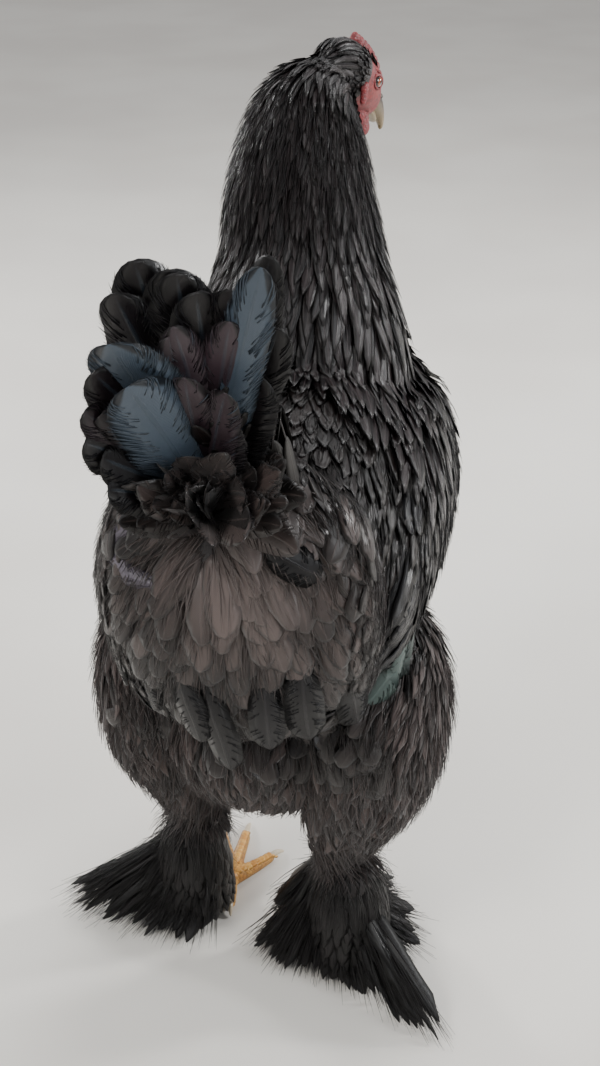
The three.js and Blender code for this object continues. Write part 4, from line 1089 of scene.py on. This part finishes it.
# Beak, with a slot for each nostril, by its stations forward, up, half width and half depth
UPPER_BEAK = (
    (18, 1, 8.4, 8.8),
    (33, 0.8, 7.3, 7.0),
    (45, -1.8, 4.9, 4.9),
    (54, -6.3, 2.5, 2.9),
    (57, -10.6, 1.2, 1.5),
)
LOWER_BEAK = ((18, -8.5, 6.8, 4.2), (33, -8.2, 5.7, 3.6), (46, -9.4, 2.5, 1.9))
NOSTRIL_DEEP, NOSTRIL_AT, NOSTRIL_UP = 1.6, 34, 3.4
bm = bmesh.new()
add_form(bm, head_form(UPPER_BEAK, (0.08, 0.12)), 28, 36)
for s in (1, -1):
    ball_on_head(bm, (32, s * 5.6, 4.2), 2.4, (1.9, 0.9, 0.8))
beak_upper = fused("beak_upper_horn", bm, 0.45, 2)
for v in beak_upper.data.vertices:
    f, side, up = in_head(np.array(v.co) / MM - SHIFT)
    off = ((f - NOSTRIL_AT) / 2.3) ** 2 + ((up - NOSTRIL_UP) / 0.85) ** 2
    depth = NOSTRIL_DEEP * math.exp(-off) * ramp(abs(side), 4, 6)
    v.co -= Vector(HEAD_LEFT * math.copysign(depth * MM, side))
bm = bmesh.new()
add_form(bm, head_form(LOWER_BEAK, (0.08, 0.2)), 24, 28)
beak_lower = fused("beak_lower_horn", bm, 0.5, 2)


# Claws, by their stations along, up, half width and half depth
def claw_stations(claw):
    return (
        (-2, 4.6, 2.5, 2.9),
        (claw * 0.35, 5.2, 2.2, 2.5),
        (claw * 0.7, 4.0, 1.6, 1.8),
        (claw + 1, 1.3, 0.6, 0.8),
    )


bm = bmesh.new()
for leg in LEGS:
    for _, turn, length, claw in TOES:
        way = toe_direction(leg, turn)
        rows = []
        for along, high, w, d in claw_stations(claw):
            beside, behind, _ = ankle_of(leg) + way * (length - 4 + along)
            rows.append((beside, behind, high, w, d))
        add_form(bm, Form(rows, across=np.cross(way, UP), ends=(0.1, 0.1)), 16, 16)
claws = smooth_object(bm, "claws")

# Scutes: three rows down each shank, and one row along each toe
roots, starts, sizes = [], [], []
for leg in LEGS:
    form = shank_form(leg)
    for t in np.linspace(0.06, 0.94, 15):
        for angle, wide in ((90, 11), (62, 8), (118, 8)):
            shift_t = t + (0.03 if angle != 90 else 0)
            roots.append(form.at(shift_t, math.radians(angle)))
            starts.append(-UP)
            sizes.append((7.2, wide))
    for _, turn, length, _ in TOES:
        toe = toe_form(leg, turn, length)
        for t in np.linspace(0.12, 0.9, max(4, int(length / 4.6))):
            roots.append(toe.at(t, math.radians(-90)))
            starts.append(toe_direction(leg, turn))
            sizes.append((6.0, 8.6 - 2.4 * t))
lines = [
    trail(root, "scute", size[0], 1.0, 1.0, start=start) for root, start, size in zip(roots, starts, sizes)
]
spine, out = as_arrays(lines)
wide = [size[1] for size in sizes]
scutes = lay("scutes", "scute", spine, out, wide, 1.5, 0.42, 0.0, None, *strips(len(lines), 12))


# Materials
class Value:
    """A number in a shader, so that sums can be written plainly"""

    def __init__(self, look, socket):
        self.look, self.socket = look, socket

    def maths(self, operation, *others):
        return self.look.node("ShaderNodeMath", {"operation": operation}, [self, *others])

    def __add__(self, other):
        return self.maths("ADD", other)

    def __sub__(self, other):
        return self.maths("SUBTRACT", other)

    def __mul__(self, other):
        return self.maths("MULTIPLY", other)

    def __rsub__(self, other):
        return self.maths("MULTIPLY", -1.0).maths("ADD", other)

    def __abs__(self):
        return self.maths("ABSOLUTE")

    __radd__ = __add__

    def sine(self):
        return self.maths("SINE")

    def step(self, low, high):
        """0 below low and 1 above high, softly between"""
        settings = {"interpolation_type": "SMOOTHSTEP"}
        if low > high:
            return 1 - self.look.node("ShaderNodeMapRange", settings, [self, float(high), float(low)])
        return self.look.node("ShaderNodeMapRange", settings, [self, float(low), float(high)])


class Look:
    """A material, and short ways to make its nodes"""

    def __init__(self, name):
        self.material = bpy.data.materials.new(name)
        self.material.use_nodes = True
        self.tree = self.material.node_tree
        self.shader = self.tree.nodes["Principled BSDF"]

    def node(self, kind, settings, inputs=(), output=0):
        """A node: its settings first, then its inputs by place or by name"""
        node = self.tree.nodes.new(kind)
        for name, value in settings.items():
            setattr(node, name, value)
        pairs = inputs.items() if isinstance(inputs, dict) else enumerate(inputs)
        for place, value in pairs:
            slot = node.inputs[place]
            if isinstance(value, Value):
                self.tree.links.new(value.socket, slot)
            else:
                slot.default_value = value
        return Value(self, node.outputs[output])

    def place(self):
        return self.node("ShaderNodeTexCoord", {}, output="Object")

    def split(self, vector):
        node = self.tree.nodes.new("ShaderNodeSeparateXYZ")
        self.tree.links.new(vector.socket, node.inputs[0])
        return [Value(self, socket) for socket in node.outputs]

    def carried(self, name):
        """A number kept on each point of the mesh"""
        return self.node("ShaderNodeAttribute", {"attribute_name": name}, output="Fac")

    def on_vane(self):
        """How far across and along its vane a place is, from 0 to 1"""
        return self.split(self.node("ShaderNodeUVMap", {"uv_map": "vane"}))[:2]

    def vectors(self, operation, a, b, output="Value"):
        return self.node("ShaderNodeVectorMath", {"operation": operation}, [a, b], output)

    def mix(self, share, a, b):
        inputs = {0: share, 6: colour(a), 7: colour(b)}
        return self.node("ShaderNodeMix", {"data_type": "RGBA"}, inputs, output=2)

    def noise(self, vector, scale, detail=3.0, rough=0.55):
        inputs = {"Vector": vector, "Scale": scale, "Detail": detail, "Roughness": rough}
        return self.node("ShaderNodeTexNoise", {}, inputs)

    def cells(self, vector, scale, feature="F1"):
        return self.node("ShaderNodeTexVoronoi", {"feature": feature}, {"Vector": vector, "Scale": scale})

    def surface(self, base, rough, height, distance, strength, **more):
        """Colour, roughness and fine relief, then any other settings"""
        relief = {"Strength": strength, "Distance": distance, "Height": height}
        return self.set(
            Base_Color=base, Roughness=rough, Normal=self.node("ShaderNodeBump", {}, relief), **more
        )

    def set(self, **inputs):
        for name, value in inputs.items():
            slot = self.shader.inputs[name.replace("_", " ")]
            if isinstance(value, Value):
                self.tree.links.new(value.socket, slot)
            else:
                slot.default_value = colour(value)
        return self.material


def colour(value):
    if isinstance(value, str):
        parts = [int(value[i : i + 2], 16) / 255 for i in (1, 3, 5)]
        return (*[p / 12.92 if p < 0.04045 else ((p + 0.055) / 1.055) ** 2.4 for p in parts], 1.0)
    return value


FULL_TURN = 6.283


def feather(
    name, deep, face, rim, shaft, rough, barbs, rim_width,
    tones=(0.3, 1.0), fluff=0.0, sheen=0.0, shaft_glint=0.0, pale=None, mid=None
):
    """Barbs run out from a raised shaft; the face is paler than the rim, and each feather has its own tone.
    tones is the range over which the face shows, mid a face for middling tones, and pale a painted highlight:
    a paler patch round one place, darker further out. The shaft is paler than the face, and its glint share
    pales it more and makes it glossier, as a painted glint."""
    look = Look(name)
    u, v = look.on_vane()
    tone = look.carried("tone")
    place = look.place()
    side = abs(u - 0.5) * 2
    along = v * barbs - side * (barbs * 0.16)
    wander = look.noise(place, 260.0, 2.0)
    lines = (along * FULL_TURN + wander * 5.0).sine() * 0.5 + 0.5
    split = look.noise(look.node("ShaderNodeCombineXYZ", {}, [side * 0.7, along * 0.09, tone * 40]), 6.0, 3.0)
    gaps = split.step(0.6, 0.7) * side.step(0.25, 0.8)
    cloud = look.noise(place, 38.0, 3.0)
    on_shaft = side.step(0.11, 0.03) * v.step(1.0, 0.9)
    at_rim = (side + v.step(0.8, 1.0) * 0.5).step(1 - rim_width * 2.2, 1.0)
    shade = (tone * 0.8 + cloud * 0.4).step(*tones)
    if mid:
        face = look.mix(tone.step(0.54, 0.68), mid, face)
    base = look.mix(shade, deep, face)
    base = look.mix(lines * 0.4, base, deep)
    base = look.mix(at_rim * 0.85, base, rim)
    base = look.mix(gaps * 0.7, base, rim)
    base = look.mix(v.step(0.32, 0.02) * 0.5, base, rim)
    # The shaft is paler than the vane; the glint share pales it further, as a painted glint
    base = look.mix(on_shaft * (0.35 + 0.65 * shaft_glint), base, shaft)
    # Painted highlight: paler round the given place, fading out, and darker further from it
    if pale:
        spot, reach, tint = pale
        far = look.vectors("DISTANCE", place, spot)
        base = look.mix((far + cloud * 0.03).step(reach, 0.02) * 0.6, base, look.mix(lines * 0.5, tint, face))
        base = look.mix((far + cloud * 0.02).step(0.078, 0.135) * 0.75, base, deep)
    height = lines * (0.3 - 0.15 * fluff) + on_shaft * 0.5 + wander * (0.4 + fluff) - gaps * 0.6
    gloss = rough + cloud * 0.14 - 0.07 + gaps * 0.15 - on_shaft * (0.1 + 0.1 * shaft_glint)
    more = {"Sheen_Weight": sheen, "Sheen_Roughness": 0.5, "Specular_IOR_Level": 0.35}
    return look.surface(base, gloss, height, 0.0004, 0.55, **more)


def skin_look():
    """Bare red face, yellow scaled legs, and dark skin everywhere under the coat"""
    look = Look("skin")
    place = look.place()
    high = look.split(place)[2]
    bare_face = look.carried("bare").step(0.3, 0.6)
    bare_leg = look.carried("scaled").step(0.3, 0.6)
    folds = look.noise(place, 420.0, 4.0, 0.65)
    grain = look.cells(place, 900.0)
    wide = look.noise(place, 90.0, 2.0)
    red = look.mix(folds.step(0.3, 0.72), "#541317", "#8a272b")
    red = look.mix(wide.step(0.5, 0.75) * 0.4, red, "#9c4a44")
    scale = look.cells(place, 330.0, "DISTANCE_TO_EDGE")
    seam = scale.step(0.12, 0.02)
    leg = look.mix(wide.step(0.35, 0.7), "#d8a24a", "#b87a2c")
    leg = look.mix(seam * 0.6, leg, "#6d4a22")
    leg = look.mix(high.step(0.012, 0.0) * 0.6, leg, "#7d6648")
    base = look.mix(look.noise(place, 60.0), "#141112", "#221b1b")
    base = look.mix(bare_leg, base, leg)
    base = look.mix(bare_face, base, red)
    height = folds * 0.8 + grain * 0.6 - seam * bare_leg * 0.8
    rough = 0.5 + folds * 0.16 - grain * 0.08
    return look.surface(base, rough, height, 0.0006, 0.6)


def red_look():
    """Pebbled red skin of the comb, lids, wattles and lobes"""
    look = Look("red_skin")
    place = look.place()
    pebbles = look.cells(place, 760.0)
    folds = look.noise(place, 300.0, 4.0, 0.6)
    wide = look.noise(place, 70.0, 2.0)
    base = look.mix(folds.step(0.3, 0.7), "#5a1418", "#8c2529")
    base = look.mix(pebbles.step(0.35, 0.8) * 0.6, base, "#5a191d")
    base = look.mix(wide.step(0.55, 0.8) * 0.35, base, "#a04c48")
    height = folds * 0.6 - pebbles * 0.9
    more = {"Subsurface_Weight": 0.03, "Subsurface_Scale": 0.003}
    return look.surface(base, 0.44 + folds * 0.16, height, 0.0007, 0.7, **more)


def eye_look():
    """Black pupil, reddish-brown iris with a dark rim, wet all over"""
    look = Look("eye")
    place = look.place()
    reach = []
    for forward, left, up in eye_places:
        centre = (on_head(forward, left, up) + SHIFT) * MM
        way = HEAD_LEFT * math.copysign(EYE_RADIUS * 0.93 * MM, left) + HEAD_FORWARD * 0.0006
        reach.append(look.vectors("DISTANCE", place, tuple(centre + way)))
    near = reach[0].maths("MINIMUM", reach[1]) * 1000
    rays = look.noise(place, 1900.0, 3.0)
    iris = look.mix(rays.step(0.35, 0.65), "#7a2c10", "#b4581c")
    iris = look.mix(near.step(2.6, 3.4), iris, "#2a0f08")
    base = look.mix(near.step(1.75, 1.5), iris, "#040303")
    base = look.mix(near.step(3.3, 3.8), base, "#1c0d0a")
    height = rays * near.step(1.5, 1.9)
    return look.surface(base, 0.06 + rays * 0.05, height, 0.0001, 0.2, Coat_Weight=1.0, Coat_Roughness=0.02)


def horn_look(name, dark, pale, side, tip, middle=40):
    """Growth lines along the horn, paler towards the sides and the tip; middle is their place on the head"""
    look = Look(name)
    place = look.place()
    at = tuple((HEAD_AT + HEAD_FORWARD * middle + SHIFT) * MM)
    away = look.vectors("SUBTRACT", place, at, "Vector")
    forward = look.vectors("DOT_PRODUCT", away, tuple(HEAD_FORWARD))
    upward = look.vectors("DOT_PRODUCT", away, tuple(HEAD_UP))
    layers = look.noise(place, 240.0, 4.0)
    growth = (forward * 2600 + layers * 7).sine() * 0.5 + 0.5
    base = look.mix(layers.step(0.35, 0.7), dark, pale)
    base = look.mix(upward.step(0.003, -0.006) * 0.75, base, side)
    base = look.mix(forward.step(0.008, 0.02) * 0.5, base, tip)
    base = look.mix(growth * 0.18, base, dark)
    height = growth * 0.25 + layers * 0.8
    more = {"Coat_Weight": 0.25, "Coat_Roughness": 0.2}
    return look.surface(base, 0.3 + layers * 0.2, height, 0.0003, 0.5, **more)


def scute_look():
    """Yellow scutes, worn paler in places and dirty along their edges"""
    look = Look("scutes")
    place = look.place()
    u, v = look.on_vane()
    tone = look.carried("tone")
    wear = look.noise(place, 500.0, 4.0)
    broad = look.noise(place, 70.0, 2.0)
    edge = (abs(u - 0.5) * 2).step(0.72, 1.0)
    base = look.mix((tone * 0.5 + broad * 0.6).step(0.2, 0.8), "#dba54c", "#c08331")
    base = look.mix(wear.step(0.5, 0.75) * 0.5, base, "#efd08a")
    base = look.mix((edge + v.step(0.2, 0.0) + v.step(0.9, 1.0)) * 0.4, base, "#6d4a22")
    height = wear * 0.5 - edge * 0.6
    return look.surface(base, 0.38 + wear * 0.2, height, 0.0004, 0.5, Coat_Weight=0.1)


# Feather looks: deep, face, rim and shaft colours, roughness, barbs along a vane and width of the rim
# Painted highlight on the cushion: the place, reach and colour of a paler patch; the cushion's paler face is
# painted highlight too
CUSHION_HIGHLIGHT = ((-0.02, 0.16, 0.365), 0.085, "#7d716d")
CUSHION_LOOK = {"fluff": 0.4, "sheen": 0.1, "pale": CUSHION_HIGHLIGHT}
# Painted reflection on the tail: blue-grey faces on feathers of high tone, purple-grey on middling ones
TAIL_LOOK = {"tones": (0.3, 0.9), "mid": "#4c3d44"}
DOWN_LOOK = {"fluff": 1.0, "sheen": 0.15}
LOOKS = {
    "satin": feather("satin_plumage", "#070404", "#170f0e", "#050303", "#241b1a", 0.4, 46, 0.1),
    # Hackle: its shafts drawn paler by the glint share, a painted glint
    "hackle": feather(
        "hackle_plumage", "#080506", "#1c1314", "#050404", "#4a4142", 0.34, 60, 0.12, shaft_glint=0.2
    ),
    "cushion": feather(
        "cushion_plumage", "#120d0c", "#4a3f3c", "#0c0909", "#564b48", 0.34, 50, 0.1, **CUSHION_LOOK
    ),
    "flight": feather("wing_plumage", "#070608", "#131217", "#040405", "#2c2a2c", 0.3, 90, 0.08),
    # Tail: blue-grey face as painted reflection on black feathers
    "tail": feather("tail_plumage", "#0b080a", "#47535f", "#060506", "#39424a", 0.36, 110, 0.1, **TAIL_LOOK),
    # Curled feather: its pale grey is a painted highlight
    "curl": feather("curled_plumage", "#2b272c", "#6a6470", "#1d191c", "#77717d", 0.32, 80, 0.08),
    # Wing tips: grey-green face as painted sheen
    "green_sheen": feather(
        "wing_tip_plumage", "#0c0f0e", "#4b5a56", "#070908", "#5c6a66", 0.32, 90, 0.06, tones=(0.2, 0.9)
    ),
    "down": feather("down", "#1c1514", "#4c403d", "#161010", "#4c413e", 0.8, 26, 0.1, **DOWN_LOOK),
    "boots": feather("leg_plumage", "#070606", "#151112", "#040404", "#292424", 0.42, 70, 0.1, fluff=0.2),
    "skin": skin_look(),
    "red": red_look(),
    "eye": eye_look(),
    "beak": horn_look("beak_horn", "#2c2420", "#54463a", "#84704a", "#8f7c5c"),
    "claw": horn_look("claw_horn", "#8a7a64", "#b9ab92", "#a08c70", "#d9cfb8"),
    "scute": scute_look(),
}

FOUR_LIMBS = ["shank_left", "shank_right", "foot_left", "foot_right"]
FLESH = ["head", "neck", "torso", "cushion", "belly", "thigh_left", "thigh_right", *FOUR_LIMBS]
CLAWS = [f"claw_{leg['name']}_{toe[0]}" for leg in LEGS for toe in TOES]

# The pieces of the coat by the nodes that they stand for
COVERS = {
    "head": "head_feathers",
    "neck head": "nape_feathers",
    "neck": "hackle neck_barbs",
    "torso": "body_feathers body_barbs",
    "cushion": "cushion_feathers cushion_barbs cushion_hem "
               "dark_tips dark_tips_barbs pale_curl pale_curl_barbs",
    "belly": "belly_fluff belly_barbs",
    "wing_left": "wing_feathers_left",
    "wing_right": "wing_feathers_right wing_tips wing_tips_barbs",
    "tail": "tail_feathers tail_barbs stub_coverts tail_coverts covert_barbs",
    "thigh_left thigh_right": "thigh_fluff thigh_barbs thigh_hem thigh_hem_barbs",
    "shank_left shank_right": "leg_barbs boot_feathers boot_barbs",
    "shank_left shank_right foot_left foot_right": "leg_feathers",
}
COVERED = {name: nodes.split() for nodes, names in COVERS.items() for name in names.split()}


def dress(piece, look, nodes):
    piece.data.materials.clear()
    piece.data.materials.append(LOOKS[look])
    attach(piece, "root")
    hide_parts(*nodes)


for piece, look, slot in coats:
    dress(piece, look, COVERED[piece.name])
skin.data.shade_smooth()
dress(skin, "skin", FLESH)
dress(comb, "red", ["comb"])
dress(lids, "red", ["head"])
dress(folds, "red", ["wattle_left", "wattle_right", "earlobe_left", "earlobe_right"])
dress(eyes, "eye", ["eye_left", "eye_right"])
dress(beak_upper, "beak", ["beak_upper"])
dress(beak_lower, "beak", ["beak_lower"])
dress(claws, "claw", CLAWS)
dress(scutes, "scute", FOUR_LIMBS)


# Floor, light and camera
def facing(ob, target):
    ob.rotation_euler = (Vector(target) - ob.location).to_track_quat("-Z", "Y").to_euler()


def lamp(name, place, target, power, width, tint=(1, 1, 1)):
    data = bpy.data.lights.new(name, "AREA")
    data.shape = "DISK"
    data.size = width
    data.energy = power
    data.color = tint
    ob = linked(name, data)
    ob.location = place
    facing(ob, target)


bm = bmesh.new()
bmesh.ops.create_grid(bm, x_segments=1, y_segments=1, size=6)
floor = object_of(bm, "floor")
ground = Look("floor")
ground_place = ground.place()
grit = ground.noise(ground_place, 60.0, 4.0)
patches = ground.noise(ground_place, 3.0, 2.0)
pale = ground.mix(patches.step(0.3, 0.7), "#e2dfd8", "#dad6cf")
floor.data.materials.append(ground.surface(pale, 0.75 + grit * 0.15, grit, 0.0004, 0.25))

middle = (-0.01, 0.0, 0.33)
lamp("key", (0.9, 1.5, 1.9), middle, 30, 0.9, (1.0, 0.98, 0.95))
lamp("side", (-1.7, 0.5, 1.2), middle, 20, 0.8, (0.95, 0.98, 1.0))
lamp("over", (-0.1, -0.9, 2.0), middle, 24, 0.9)
lamp("edge_right", (-1.5, -1.0, 0.9), middle, 26, 0.25)
lamp("edge_left", (1.4, -0.9, 0.9), middle, 14, 0.25)
world = bpy.data.worlds.new("studio")
world.use_nodes = True
world.node_tree.nodes["Background"].inputs["Color"].default_value = (0.9, 0.9, 0.92, 1)
world.node_tree.nodes["Background"].inputs["Strength"].default_value = 0.62
bpy.context.scene.world = world

lens = bpy.data.cameras.new("photo")
lens.lens = 49.44
lens.sensor_width = 36
camera = linked("photo", lens)
camera.location = (-0.2036, 0.8095, 0.795)
facing(camera, (-0.0166, -0.0006, 0.315))
bpy.context.scene.camera = camera
